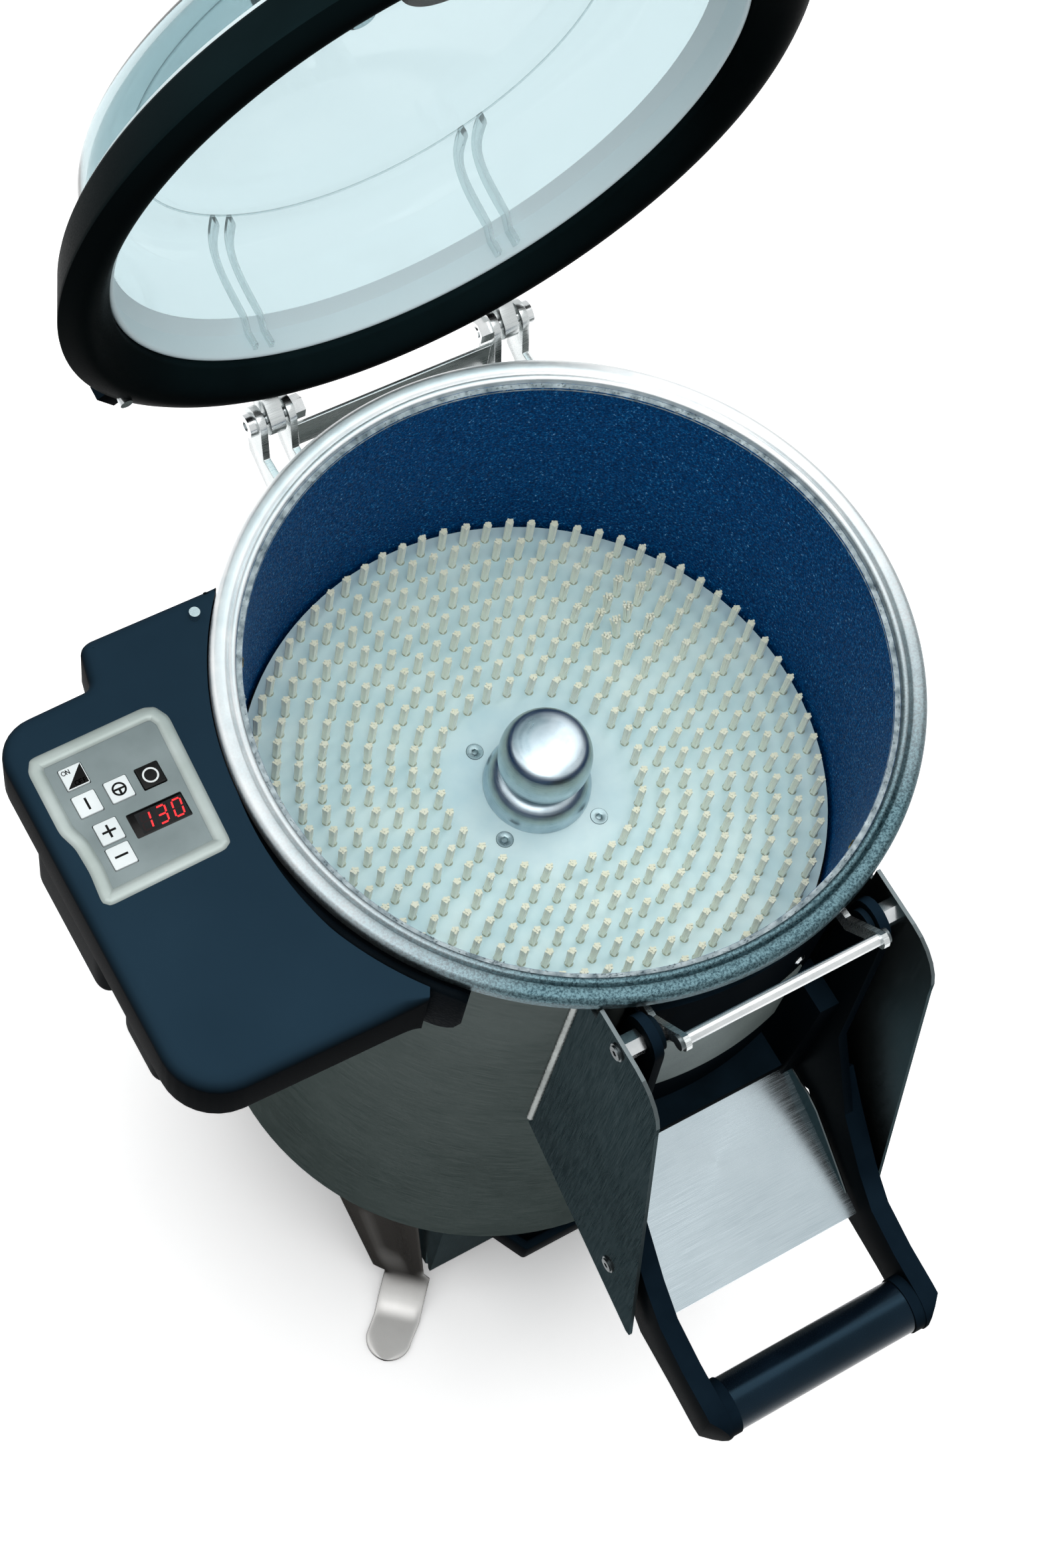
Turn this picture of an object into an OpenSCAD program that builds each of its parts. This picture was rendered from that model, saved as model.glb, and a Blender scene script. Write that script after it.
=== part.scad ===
// Mussel cleaning machine: deep drum with a turning brush plate, clear lid,
// discharge door with a pull handle and a control housing on the left.
// Millimetres, +Z up, front at -Y, control housing at -X.

/* [Drum] */
// Height of the rim top above the floor
rim_height = 550; // [530:1:580]
// Outside radius of the rolled rim
rim_radius = 170; // [169:0.5:171]
// Height of the rolled rim section
rim_section = 10; // [8:0.5:11]
// Outside radius of the drum wall
drum_radius = 159; // [158:0.5:160]
// Sheet thickness of the drum wall
drum_wall = 1.5; // [1.2:0.1:2]
// Depth of the drum from rim top to its lower edge
drum_depth = 411; // [400:1:420]
// Thickness of the drum floor
floor_thickness = 3; // [2.5:0.5:4]
// Thickness of the abrasive liner
liner_thickness = 3; // [2:0.25:3.5]
// Width of the product opening
opening_width = 96; // [80:1:100]
// Height of the product opening
opening_height = 88; // [70:1:92]

/* [Brush plate] */
// Depth of the plate face below the rim
plate_depth = 134; // [126:1:140]
// Radius of the brush plate
plate_radius = 152; // [149:0.5:152.5]
// Thickness of the brush plate
plate_thickness = 9; // [8:0.5:12]
// Tuft rings on the plate
tuft_rings = 9; // [7:1:9]
// Tufts in the innermost ring
tuft_first = 28; // [20:1:28]
// Tufts added with each ring
tuft_step = 6; // [4:1:6]
// Radius of the innermost tuft ring
tuft_inner = 53; // [52:0.5:56]
// Distance between tuft rings
tuft_pitch = 11.5; // [10:0.1:11.6]
// Width of a tuft
tuft_width = 4.6; // [3.5:0.1:5]
// Height of a tuft above the plate
tuft_height = 17; // [12:0.5:19]
// Radius of the screw circle around the hub
screw_circle = 36; // [34.5:0.5:37]
// Radius of the drive shaft
shaft_radius = 12; // [10:0.5:14]
// Radius of the threaded shaft end
spigot_radius = 8; // [6:0.5:9]
// Radius of the hub knob foot
knob_foot = 28; // [26:0.5:28]
// Height of the hub knob
knob_height = 51; // [46:1:56]

/* [Lid] */
// Opening angle of the lid as shown
lid_angle = 82; // [70:1:86]
// Distance of the hinge axis behind the drum axis
hinge_distance = 180; // [179:0.5:182]
// Height of the hinge axis above the rim
hinge_rise = 1; // [0:0.5:2]
// Outside radius of the lid ring
ring_radius = 181.5; // [180:0.5:182]
// Inside radius of the lid ring
ring_inner = 155.5; // [154:0.5:156]
// Height of the dome above the rim
dome_height = 86; // [82:1:96]
// Thickness of the clear dome
dome_wall = 3; // [2.5:0.5:4]
// Radius of the hinge bolts
hinge_bolt = 3; // [2.5:0.25:3.5]

/* [Discharge] */
// Distance of the side panels from the middle
panel_half = 76; // [75.5:0.5:78]
// Sheet thickness of the side panels
panel_sheet = 2; // [1.5:0.25:2.5]
// Distance of the door pivot in front of the drum axis
pivot_distance = 172; // [170:0.5:174]
// Depth of the door pivot below the rim
pivot_depth = 14; // [12:0.5:16]
// Radius of the door pivot
pivot_radius = 4; // [3:0.25:5]
// Thickness of the curved door
door_thickness = 6; // [4:0.5:7]
// Radius of the handle grip
grip_radius = 14.5; // [12:0.5:15]
// Distance of the grip axis in front of the drum axis
grip_distance = 308; // [300:1:314]
// Depth of the grip axis below the rim
grip_depth = 230; // [226:1:234]
// Width of the chute floor
chute_width = 115; // [100:1:116]

/* [Control housing] */
// Reach of the housing to the left of the drum axis
housing_reach = 257; // [254:1:264]
// Height of the upper cover
housing_height = 40; // [36:1:44]
// Wall of the moulded covers
housing_wall = 3; // [2.5:0.5:3.5]
// Depth of the belly below the upper cover
belly_depth = 46; // [38:1:50]
// Width of a key
key_size = 11; // [9:0.5:11.5]
// Key travel
key_travel = 0.6; // [0.4:0.1:1]
// Width of the display window
window_width = 27.4; // [24:0.2:27.6]
// Height of the display window
window_height = 12.8; // [10:0.2:13.4]
// Radius of the lid switch plunger
plunger_radius = 2.6; // [2:0.1:3]
// Travel of the lid switch plunger
plunger_travel = 4; // [2:0.5:4]

/* [Base] */
// Width of the base box
base_width = 184; // [176:1:186]
// Length of the base box
base_length = 250; // [240:1:252]
// Clearance of the base box above the floor
base_clear = 43; // [38:1:50]
// Thickness of the leg sheet
leg_sheet = 3; // [2.5:0.25:4]
// Width of the foot
foot_width = 28; // [24:1:30]
// Reach of the foot from the drum axis
foot_reach = 204; // [196:1:206]

/* [Fits] */
// Radial clearance of turning and sliding fits
run_fit = 0.05; // [0.03:0.01:0.08]
// Radial clearance of screws and rivets in their holes
hole_fit = 0.05; // [0.03:0.01:0.1]
// Clearance around a key
key_gap = 0.4; // [0.35:0.05:0.5]

/* [Hidden] */
$fn = 72;

// Offset of the drum axis that puts the middle of the footprint at the origin
axis_x = 37.75;
axis_y = 23.55;

zr = rim_height;
drum_in = drum_radius - drum_wall;
drum_z0 = zr - drum_depth;
wall_top = zr - rim_section;
liner_out = drum_in;
liner_in = liner_out - liner_thickness;
liner_top = zr - 4;
plate_top = zr - plate_depth;
plate_z0 = plate_top - plate_thickness;
flange_t = 10;
flange_z0 = plate_z0 - flange_t;
flange_r = screw_circle + 9;
floor_z = flange_z0 - 9;
floor_z0 = floor_z - floor_thickness;
opening_z0 = plate_top - 2;
rivet_r = 1.5;
rivet_angles = [150, 215, 300];
rivet_z = zr - 20;
seal_r = shaft_radius + 8;
screw_r = 2.5;
screw_head = 4.6;
screw_turn = 123;
motor_r = 60;
motor_bolt_r = 4;
motor_bolt_circle = 58;
motor_flange = 70;
drain_r = 20;
drain_y = base_length / 2 - 25;
bottom_t = 3;
base_sheet = 2;
spout_half = 60;
spout_front = base_length / 2 + 29;
spout_z0 = drum_z0 - 47;
spout_h = 20;

leg_turn = 229;
leg_r = 145;
leg_lean = 4;
leg_top = drum_z0 - leg_sheet;
leg_bolt_r = 4;
leg_bolt_at = [-45, -17];
leg_bolt_radius = 130;

housing_top = zr - 4;
housing_z0 = housing_top - housing_height;
housing_in = 172.5;
housing_rear = 113;
housing_front = 116;
belly_steps = [[-22, 50, belly_depth], [-54, -4, belly_depth - 30], [-78, -40, belly_depth - 16]];
pocket_z = housing_top - 3;
bezel_top = housing_top + 1.5;
bezel_width = 6;
ledge = 2;
key_z0 = pocket_z - 3;
key_top = housing_top + 0.8;
board_top = pocket_z - 7;
board_t = 1.6;
on_off_at = [-232, 51.5];
start_at = [-232.6, 36.8];
pulse_at = [-216.8, 37];
stop_at = [-201.2, 37];
plus_at = [-230, 20.4];
minus_at = [-230.3, 7.4];
window_at = [-206.5, 17.8];
plunger_at = [-146.6, 100.8];
plunger_top = zr + 1;
plunger_collar = 3.8;
plunger_foot = housing_top - 18;
cover_z = housing_top - 3 - housing_wall;
plunger_turn = atan2(plunger_at[1], plunger_at[0]);

arm_in = chute_width / 2 + 1.5;
strap_out = arm_in + 5;
arm_out = arm_in + 10.5;
panel_in = panel_half - panel_sheet;
pivot_y = -pivot_distance;
pivot_z = zr - pivot_depth;
grip_y = -grip_distance;
grip_z = zr - grip_depth;
screw_shank = 2.5;
pad_y = -222;
pad_z = zr - 204;
door_in = drum_radius + 1.5;
door_out = door_in + door_thickness;
door_half = 54;
door_z0 = zr - 183;
door_z1 = zr - 28;
rod_half = 51.5;
rod_r = 3;
rod_y = -185;
rod_z = zr + 4;
strip_t = 3;

hinge_y = hinge_distance;
hinge_z = zr + hinge_rise;
lug_eye = 8.5;
lug_inner = 55;
lug_outer = 71;
lug_sheet = 4;
lid_lug = 61;
lid_lug_t = 8;
ring_edge = hinge_rise + 11;
ring_lip = hinge_rise + 6;
ring_sag = 8;
ring_top = 29;
ring_back = ring_radius - 10.5;
flange_top = ring_top + dome_wall;
flange_radius = ring_back - 4;
dome_foot = 14;
dome_fit = 0.3;
dome_radius = ring_inner - 5.5;
step_radius = 120;
step_height = dome_height - 14;
rib_places = [61.5, 70.5];
rib_width = 3;
rib_depth = 6;
handle_half = 39;
handle_y = -14;
handle_foot = 22;
handle_rise = 32;
handle_bar = 8;
boss_radius = 7.3;
chute_reach = 257;
chute_inner = 140;
chute_top = zr - 180;
chute_drop = 42;

// Moves a shape from the drum axis to the shared frame
module on_axis() {
    translate([axis_x, axis_y, 0]) children();
}

// Swings a lid shape from closed to open
module lid_open() {
    on_axis() translate([0, hinge_y, hinge_z]) rotate([-lid_angle, 0, 0])
        translate([0, -hinge_y, -hinge_z]) children();
}

// Cylinder along X between two places
module rod_x(r, x0, x1, y, z, sides = 32) {
    translate([x0, y, z]) rotate([0, 90, 0]) cylinder(r = r, h = x1 - x0, $fn = sides);
}

module ring(r_out, r_in, z0, h) {
    translate([0, 0, z0]) difference() {
        cylinder(r = r_out, h = h);
        translate([0, 0, -1]) cylinder(r = r_in, h = h + 2);
    }
}

module four(r, turn) {
    for (k = [0 : 3]) rotate([0, 0, turn + 90 * k]) translate([r, 0, 0]) children();
}

// Both sides of the machine
module both() {
    children();
    mirror([1, 0, 0]) children();
}

module four_legs() {
    for (mx = [0, 1])
        for (my = [0, 1])
            mirror([mx, 0, 0]) mirror([0, my, 0]) rotate([0, 0, leg_turn]) children();
}

// Upright sheet given by its outline in y and z
module side_sheet(x0, t) {
    translate([x0, 0, 0]) rotate([90, 0, 90]) linear_extrude(t) children();
}

module rivet_holes(extra) {
    for (a = rivet_angles)
        rotate([0, 0, a]) translate([liner_in - 3, 0, rivet_z]) rotate([0, 90, 0])
            cylinder(r = rivet_r + extra, h = 12, $fn = 20);
}

module product_opening() {
    translate([-opening_width / 2, -drum_radius - 5, opening_z0])
        cube([opening_width, 60, opening_height]);
}

module drum_shell() {
    color("#8f9a9b") on_axis() difference() {
        union() {
            ring(drum_radius, drum_in, drum_z0, wall_top - drum_z0);
            translate([0, 0, floor_z0]) cylinder(r = drum_radius - drum_wall / 2, h = floor_thickness);
        }
        translate([0, 0, floor_z0 - 1]) cylinder(r = seal_r + hole_fit, h = floor_thickness + 2);
        product_opening();
        rivet_holes(hole_fit);
        translate([0, -drain_y, floor_z0 - 1]) cylinder(r = drain_r - 2, h = floor_thickness + 2);
        four(motor_bolt_circle, 45) translate([0, 0, floor_z0 - 1])
            cylinder(r = motor_bolt_r + hole_fit, h = floor_thickness + 2, $fn = 24);
    }
}

module drum_rim() {
    half = rim_section / 2;
    color("#a9b0b2") on_axis() rotate_extrude($fn = 96)
        polygon(concat(
            [[drum_in, wall_top]],
            [for (a = [-90 : 30 : 90]) [rim_radius - half + half * cos(a), zr - half + half * sin(a)]],
            [[drum_in + 4, zr], [drum_in + 3, zr - 1.5], [drum_in + 1.5, zr - 1.5], [drum_in, zr - 0.5]]));
}

module abrasive_liner() {
    color("#0f3d6e") on_axis() difference() {
        ring(liner_out, liner_in, plate_top - 12, liner_top - plate_top + 12);
        product_opening();
        rivet_holes(hole_fit);
    }
}

module liner_rivets() {
    color("#c8a24a") on_axis() for (a = rivet_angles)
        rotate([0, 0, a]) translate([liner_in - 1, 0, rivet_z]) rotate([0, 90, 0]) {
            cylinder(r1 = 2, r2 = 3.2, h = 0.9, $fn = 20);
            cylinder(r = rivet_r, h = liner_thickness + drum_wall + 0.6, $fn = 20);
        }
}

module bottom_plate() {
    color("#8f9a9b") on_axis() difference() {
        translate([0, 0, drum_z0]) cylinder(r = drum_in, h = bottom_t);
        translate([0, -drain_y, drum_z0 - 1]) cylinder(r = drain_r + hole_fit, h = bottom_t + 2);
        leg_bolt_holes(drum_z0 - 1, bottom_t + 2);
    }
}

module leg_bolt_holes(z0, h) {
    four_legs() for (t = leg_bolt_at) translate([leg_bolt_radius, t, z0])
        cylinder(r = leg_bolt_r + hole_fit, h = h, $fn = 24);
}

module base_box() {
    color("#7d8787") on_axis() difference() {
        translate([-base_width / 2, -base_length / 2, base_clear])
            cube([base_width, base_length, drum_z0 - base_clear]);
        translate([-base_width / 2 + base_sheet, -base_length / 2 + base_sheet, base_clear - 1])
            cube([base_width - 2 * base_sheet, base_length - 2 * base_sheet,
                drum_z0 - base_clear + 1 - base_sheet]);
        translate([-spout_half, -base_length / 2 - 1, spout_z0]) cube([2 * spout_half, 20, spout_h]);
        translate([0, -drain_y, drum_z0 - 10]) cylinder(r = drain_r + hole_fit, h = 20);
        four_legs() translate([100, -60, leg_top - 8]) cube([60, 58, 20]);
        four_legs() translate([leg_r - 1, 0, leg_top]) rotate([0, -leg_lean, 0]) translate([0, 0, -leg_top])
            side_sheet(0, 60) polygon([[-16, -2], [19, -2], [-5, leg_top + 1], [-57, leg_top + 1]]);
    }
}

module base_covers() {
    color("#15191c") on_axis() both()
        translate([base_width / 2, -base_length / 2 + 26, base_clear + 4])
            cube([2, base_length - 52, drum_z0 - base_clear - 28]);
}

module waste_spout() {
    inner = base_length / 2 - 70;
    color("#101418") on_axis() difference() {
        translate([0, 0, spout_z0]) linear_extrude(spout_h) polygon([
            [-spout_half, -inner], [-spout_half, -spout_front + 20], [-spout_half + 10, -spout_front],
            [spout_half - 10, -spout_front], [spout_half, -spout_front + 20], [spout_half, -inner]]);
        translate([0, 0, spout_z0 + 4]) linear_extrude(spout_h) polygon([
            [-spout_half + 5, -inner - 5], [-spout_half + 5, -spout_front + 20],
            [-spout_half + 13, -spout_front + 5], [spout_half - 13, -spout_front + 5],
            [spout_half - 5, -spout_front + 20], [spout_half - 5, -inner - 5]]);
    }
}

module drain_duct() {
    color("#7d8787") on_axis() translate([0, -drain_y, 0])
        ring(drain_r, drain_r - 2, spout_z0 + 12, floor_z0 - spout_z0 - 12);
}

module legs() {
    half = foot_width / 2;
    middle = -1.9;
    color("#b9bec0") on_axis() difference() {
        four_legs() {
            intersection() {
                translate([leg_r, 0, leg_top]) rotate([0, -leg_lean, 0]) translate([0, 0, -leg_top])
                    side_sheet(0, leg_sheet)
                        polygon([[-14, -2], [17, -2], [-7, leg_top + 1], [-55, leg_top + 1]]);
                translate([100, -80, 0]) cube([90, 120, drum_z0]);
            }
            translate([leg_r, 0, leg_top]) rotate([0, -leg_lean, 0]) translate([0, 0, -leg_top])
                side_sheet(leg_sheet - 0.5, 2)
                    polygon([[-6, 30], [4, 27], [11, 30], [-14, leg_top - 36], [-21, leg_top - 30],
                        [-28, leg_top - 36]]);
            linear_extrude(leg_sheet) polygon(concat(
                [[leg_r + 7, -14]],
                [for (a = [-90 : 15 : 90])
                    [foot_reach - half + half * cos(a), middle + half * sin(a)]],
                [[leg_r + 7, 17]]));
            translate([leg_bolt_radius - 16, -55, leg_top])
                cube([leg_r - leg_bolt_radius + 18, 48, leg_sheet]);
        }
        leg_bolt_holes(leg_top - 1, leg_sheet + 2);
    }
}

module leg_bolts() {
    color("#9aa0a2") on_axis() four_legs() for (t = leg_bolt_at)
        translate([leg_bolt_radius, t, leg_top - 5]) {
            cylinder(r = 7, h = 5, $fn = 6);
            cylinder(r = leg_bolt_r, h = 5 + leg_sheet + bottom_t + 4, $fn = 24);
        }
}

module gear_motor() {
    z1 = floor_z0;
    color("#30363a") on_axis() difference() {
        union() {
            translate([0, 0, z1 - 9]) cylinder(r = motor_flange, h = 9);
            translate([0, 0, z1 - 55]) cylinder(r = motor_r - 12, h = 46.5);
            translate([0, 0, z1 - 180]) cylinder(r = motor_r, h = 125.5);
            translate([motor_r - 6, -28, z1 - 150]) cube([26, 56, 60]);
        }
        translate([0, 0, z1 - 50]) cylinder(r = shaft_radius + run_fit, h = 60);
        four(motor_bolt_circle, 45) translate([0, 0, z1 - 10])
            cylinder(r = motor_bolt_r + hole_fit, h = 20, $fn = 24);
    }
}

module motor_bolts() {
    color("#9aa0a2") on_axis() four(motor_bolt_circle, 45) translate([0, 0, floor_z0 - 15]) {
        cylinder(r = 7, h = 6, $fn = 6);
        cylinder(r = motor_bolt_r, h = 15 + floor_thickness, $fn = 24);
    }
}

module shaft_seal() {
    color("#1a1a1a") on_axis() difference() {
        union() {
            translate([0, 0, floor_z0]) cylinder(r = seal_r, h = floor_thickness + 1);
            translate([0, 0, floor_z]) cylinder(r = seal_r + 4, h = 4);
        }
        translate([0, 0, floor_z0 - 1]) cylinder(r = shaft_radius + run_fit, h = floor_thickness + 8);
    }
}

module housing_plan() {
    reach = housing_reach;
    offset(r = 9, $fn = 24) offset(delta = -9)
        polygon([[-120, housing_rear], [-191, housing_rear], [-200, 107], [-205, 92], [-reach + 19, 90],
            [-reach + 8, 86], [-reach + 2, 76], [-reach, 60], [-reach, -84], [-reach + 5, -100],
            [-reach + 17, -110], [-120, -housing_front]]);
}

module bezel_plan() {
    polygon([[-246, 68], [-189, 69], [-184, 67], [-180.5, 60], [-184, -8], [-188, -10.5], [-245, -12],
        [-248, -9], [-246.5, 6], [-247, 19.5], [-250, 29], [-249.5, 62]]);
}

module key_plan(gap) {
    side = key_size + 2 * gap;
    for (p = [on_off_at, start_at, pulse_at, stop_at, plus_at, minus_at])
        translate(p) square([side, side], center = true);
}

module window_plan() {
    translate(window_at) square([window_width, window_height], center = true);
}

module control_housing() {
    color("#14181c") on_axis() difference() {
        union() {
            translate([0, 0, housing_z0]) linear_extrude(housing_height - 4) housing_plan();
            translate([0, 0, housing_top - 4]) linear_extrude(2) offset(delta = -1) housing_plan();
            translate([0, 0, housing_top - 2]) linear_extrude(2) offset(delta = -3) housing_plan();
        }
        translate([0, 0, housing_z0 - 1]) cylinder(r = housing_in, h = housing_height + 2);
        difference() {
            translate([0, 0, housing_z0 - 1]) linear_extrude(housing_height - 2 - housing_wall)
                offset(delta = -housing_wall) housing_plan();
            translate([0, 0, housing_z0 - 2])
                cylinder(r = housing_in + housing_wall, h = housing_height + 4);
            for (p = [[-245, -3], [-189, -3], [-245, 60], [-189, 60]])
                translate([p[0], p[1], board_top]) cylinder(r = 2.5, h = 20, $fn = 24);
        }
        translate([0, 0, pocket_z]) linear_extrude(10) bezel_plan();
        translate([0, 0, pocket_z - 20]) linear_extrude(30)
            offset(delta = -bezel_width - ledge) bezel_plan();
        translate([plunger_at[0], plunger_at[1], housing_top - 20])
            cylinder(r = plunger_radius + run_fit, h = 40, $fn = 32);
        translate([plunger_at[0], plunger_at[1], housing_z0 - 1])
            cylinder(r = plunger_collar + 0.4, h = cover_z - housing_z0 + 1, $fn = 32);
    }
}

module housing_belly() {
    color("#101317") on_axis() difference() {
        union() {
            difference() {
                translate([0, 0, housing_z0 - 1]) linear_extrude(4)
                    offset(delta = -housing_wall) housing_plan();
                translate([0, 0, housing_z0 - 2]) cylinder(r = housing_in + housing_wall, h = 9);
            }
            for (b = belly_steps)
                translate([0, 0, housing_z0 - b[2]]) linear_extrude(b[2]) belly_plan(b[0], b[1]);
        }
        for (b = belly_steps)
            translate([0, 0, housing_z0 - b[2] + housing_wall]) linear_extrude(b[2] + 10)
                offset(delta = -housing_wall) belly_plan(b[0], b[1]);
    }
}

// One step of the belly between two places along Y
module belly_plan(y0, y1) {
    x0 = -housing_reach + 2;
    offset(r = 8, $fn = 24) offset(delta = -8) polygon([[x0, y0], [-186, y0], [-186, y1], [x0, y1]]);
}

module housing_gasket() {
    color("#0c0e10") on_axis() intersection() {
        ring(housing_in, drum_radius, housing_z0 + 6, wall_top - housing_z0 - 8);
        translate([-200, -108, 0]) cube([90, 216, 600]);
    }
}

module control_bezel() {
    color("#b4bcbc") on_axis() translate([0, 0, pocket_z])
        linear_extrude(bezel_top - pocket_z) difference() {
            bezel_plan();
            offset(delta = -bezel_width) bezel_plan();
        }
}

module membrane_panel() {
    color("#a9b0b0") on_axis() translate([0, 0, pocket_z]) linear_extrude(3) difference() {
        offset(delta = -bezel_width) bezel_plan();
        key_plan(key_gap);
        window_plan();
    }
}

module display_module() {
    color("#1b1b1b") on_axis() translate([window_at[0], window_at[1], board_top])
        translate([-15, -7.2, 0]) cube([30, 14.4, pocket_z - board_top]);
}

module display_window() {
    color("#5a0d0d") on_axis() translate([0, 0, pocket_z]) linear_extrude(2.6) window_plan();
}

module control_board() {
    color("#1f5a3a") on_axis() translate([-249, -7, board_top - board_t]) cube([64, 71, board_t]);
}

module key_cap(place) {
    on_axis() translate([place[0], place[1], 0]) {
        translate([-key_size / 2, -key_size / 2, key_z0]) cube([key_size, key_size, key_top - key_z0]);
        translate([0, 0, key_z0 - 2.5]) cylinder(r = 2, h = 3, $fn = 24);
    }
}

module key_on_off() {
    color("#dfe6e6") key_cap(on_off_at);
}

module key_start() {
    color("#dfe6e6") key_cap(start_at);
}

module key_stop() {
    color("#1a1d1f") key_cap(stop_at);
}

module key_pulse() {
    color("#dfe6e6") key_cap(pulse_at);
}

module key_plus() {
    color("#dfe6e6") key_cap(plus_at);
}

module key_minus() {
    color("#dfe6e6") key_cap(minus_at);
}

module switch_plunger() {
    color("#c4c8ca") on_axis() translate([plunger_at[0], plunger_at[1], 0]) {
        translate([0, 0, plunger_foot])
            cylinder(r = plunger_radius, h = plunger_top - plunger_foot, $fn = 32);
        translate([0, 0, cover_z - 2.4]) cylinder(r = plunger_collar, h = 2, $fn = 32);
    }
}

module lid_switch() {
    z1 = plunger_foot - plunger_travel - 0.5;
    color("#23282c") on_axis() translate([plunger_at[0], plunger_at[1], 0]) rotate([0, 0, plunger_turn]) {
        translate([-1.5, -3.5, z1 - 13]) cube([9, 23.5, 13]);
        translate([-1.5, 8, z1 - 1]) cube([9, 12, cover_z - z1 + 1]);
    }
}

module panel_outline() {
    corner = 26;
    polygon(concat(
        [[-130, zr - 16], [-153.6, zr - 16], [-153.6, zr - 6]],
        [for (a = [90 : 15 : 180]) [-184 + corner * cos(a), zr - 6 - corner + corner * sin(a)]],
        [[-253, zr - 240], [-250, zr - 241], [-130, zr - 196]]));
}

module chute_panel() {
    difference() {
        side_sheet(panel_in, panel_sheet) panel_outline();
        translate([0, 0, drum_z0]) cylinder(r = drum_radius, h = drum_depth);
        rod_x(screw_shank + hole_fit, panel_in - 1, panel_half + 1, pivot_y, pivot_z);
        rod_x(screw_shank + hole_fit, panel_in - 1, panel_half + 1, pad_y, pad_z);
    }
}

module chute_panel_left() {
    color("#6f7876") on_axis() mirror([1, 0, 0]) chute_panel();
}

module chute_panel_right() {
    color("#6f7876") on_axis() chute_panel();
}

module chute_floor() {
    color("#b5babb") on_axis() difference() {
        side_sheet(-chute_width / 2, chute_width) polygon([[-chute_inner, chute_top],
            [-chute_reach, chute_top - chute_drop], [-chute_reach, chute_top - chute_drop - panel_sheet],
            [-chute_inner, chute_top - panel_sheet]]);
        translate([0, 0, drum_z0]) cylinder(r = drum_radius, h = drum_depth);
    }
}

module pivot_standoffs() {
    color("#b9bec0") on_axis() both() difference() {
        union() {
            rod_x(6.2, strap_out + 0.4, panel_in, pivot_y, pivot_z, 6);
            rod_x(pivot_radius, arm_in - 4, strap_out + 2, pivot_y, pivot_z);
        }
        rod_x(screw_shank + hole_fit, panel_in - 6, panel_in + 1, pivot_y, pivot_z);
    }
}

module pivot_washers() {
    color("#101317") on_axis() both() difference() {
        rod_x(8.5, arm_in - 3.4, arm_in - 0.4, pivot_y, pivot_z);
        rod_x(pivot_radius + hole_fit, arm_in - 6, arm_in + 2, pivot_y, pivot_z);
    }
}

module screw_in(y, z, depth) {
    difference() {
        union() {
            rod_x(4.6, panel_half, panel_half + 1, y, z);
            rod_x(3.7, panel_half, panel_half + 1.9, y, z);
        }
        rod_x(1.6, panel_half + 0.9, panel_half + 3, y, z, 6);
    }
    rod_x(screw_shank, panel_half - depth, panel_half + 0.8, y, z);
}

module panel_screws() {
    color("#8a9092") on_axis() both() {
        screw_in(pivot_y, pivot_z, 6);
        screw_in(pad_y, pad_z, 5);
    }
}

module guide_pads() {
    color("#101317") on_axis() both() difference() {
        rod_x(8, arm_out + 0.5, panel_in, pad_y, pad_z);
        rod_x(screw_shank + hole_fit, panel_half - 5.2, panel_in + 1, pad_y, pad_z);
    }
}

module catch_rod() {
    color("#d0d4d6") on_axis() difference() {
        rod_x(rod_r, -rod_half, rod_half, rod_y, rod_z);
        both() rod_x(1.5 + hole_fit, rod_half - 6, rod_half + 1, rod_y, rod_z, 20);
    }
}

module catch_arm_outline() {
    polygon(concat(
        [[-140, zr - 25], [-168, zr - 22]],
        [for (a = [225 : -30 : 45]) [rod_y + 5 * cos(a + 45), rod_z + 5 * sin(a + 45)]],
        [[-165, zr - 14], [-140, zr - 17]]));
}

module catch_arms() {
    color("#8a9092") on_axis() both() difference() {
        side_sheet(rod_half, strip_t) catch_arm_outline();
        translate([0, 0, drum_z0]) cylinder(r = drum_radius, h = drum_depth);
        rod_x(1.5 + hole_fit, rod_half - 1, rod_half + strip_t + 1, rod_y, rod_z, 20);
    }
}

module catch_screws() {
    color("#8a9092") on_axis() both() {
        rod_x(3.8, rod_half + strip_t, rod_half + strip_t + 1.8, rod_y, rod_z, 24);
        rod_x(1.5, rod_half - 5, rod_half + strip_t + 1, rod_y, rod_z, 20);
    }
}

module fixed_lug_outline() {
    polygon(concat(
        [[130, zr - 46], [130, zr - 16], [hinge_y - 12, zr - 15]],
        [for (a = [180 : -20 : 0]) [hinge_y + lug_eye * cos(a), hinge_z + lug_eye * sin(a)]],
        [[hinge_y + 2, zr - 24]]));
}

module hinge_bracket() {
    color("#c4c9cb") on_axis() difference() {
        union() {
            both() {
                side_sheet(lug_inner, lug_sheet) fixed_lug_outline();
                side_sheet(lug_outer, lug_sheet) fixed_lug_outline();
            }
            translate([-lug_inner - 1, hinge_y - 6, zr - 25]) cube([2 * lug_inner + 2, 2, 19]);
        }
        translate([0, 0, drum_z0]) cylinder(r = drum_radius, h = drum_depth);
        both() rod_x(hinge_bolt + hole_fit, lug_inner - 2, lug_outer + lug_sheet + 2, hinge_y, hinge_z);
    }
}

module hinge_bolts() {
    x1 = lug_outer + lug_sheet;
    color("#a9aeb0") on_axis() both() {
        rod_x(hinge_bolt, lug_inner - 6.5, x1 + 1, hinge_y, hinge_z);
        rod_x(6, lug_inner - 6, lug_inner, hinge_y, hinge_z, 6);
        difference() {
            rod_x(6, x1, x1 + 4, hinge_y, hinge_z);
            rod_x(2.6, x1 + 2, x1 + 5, hinge_y, hinge_z, 6);
        }
    }
}

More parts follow.
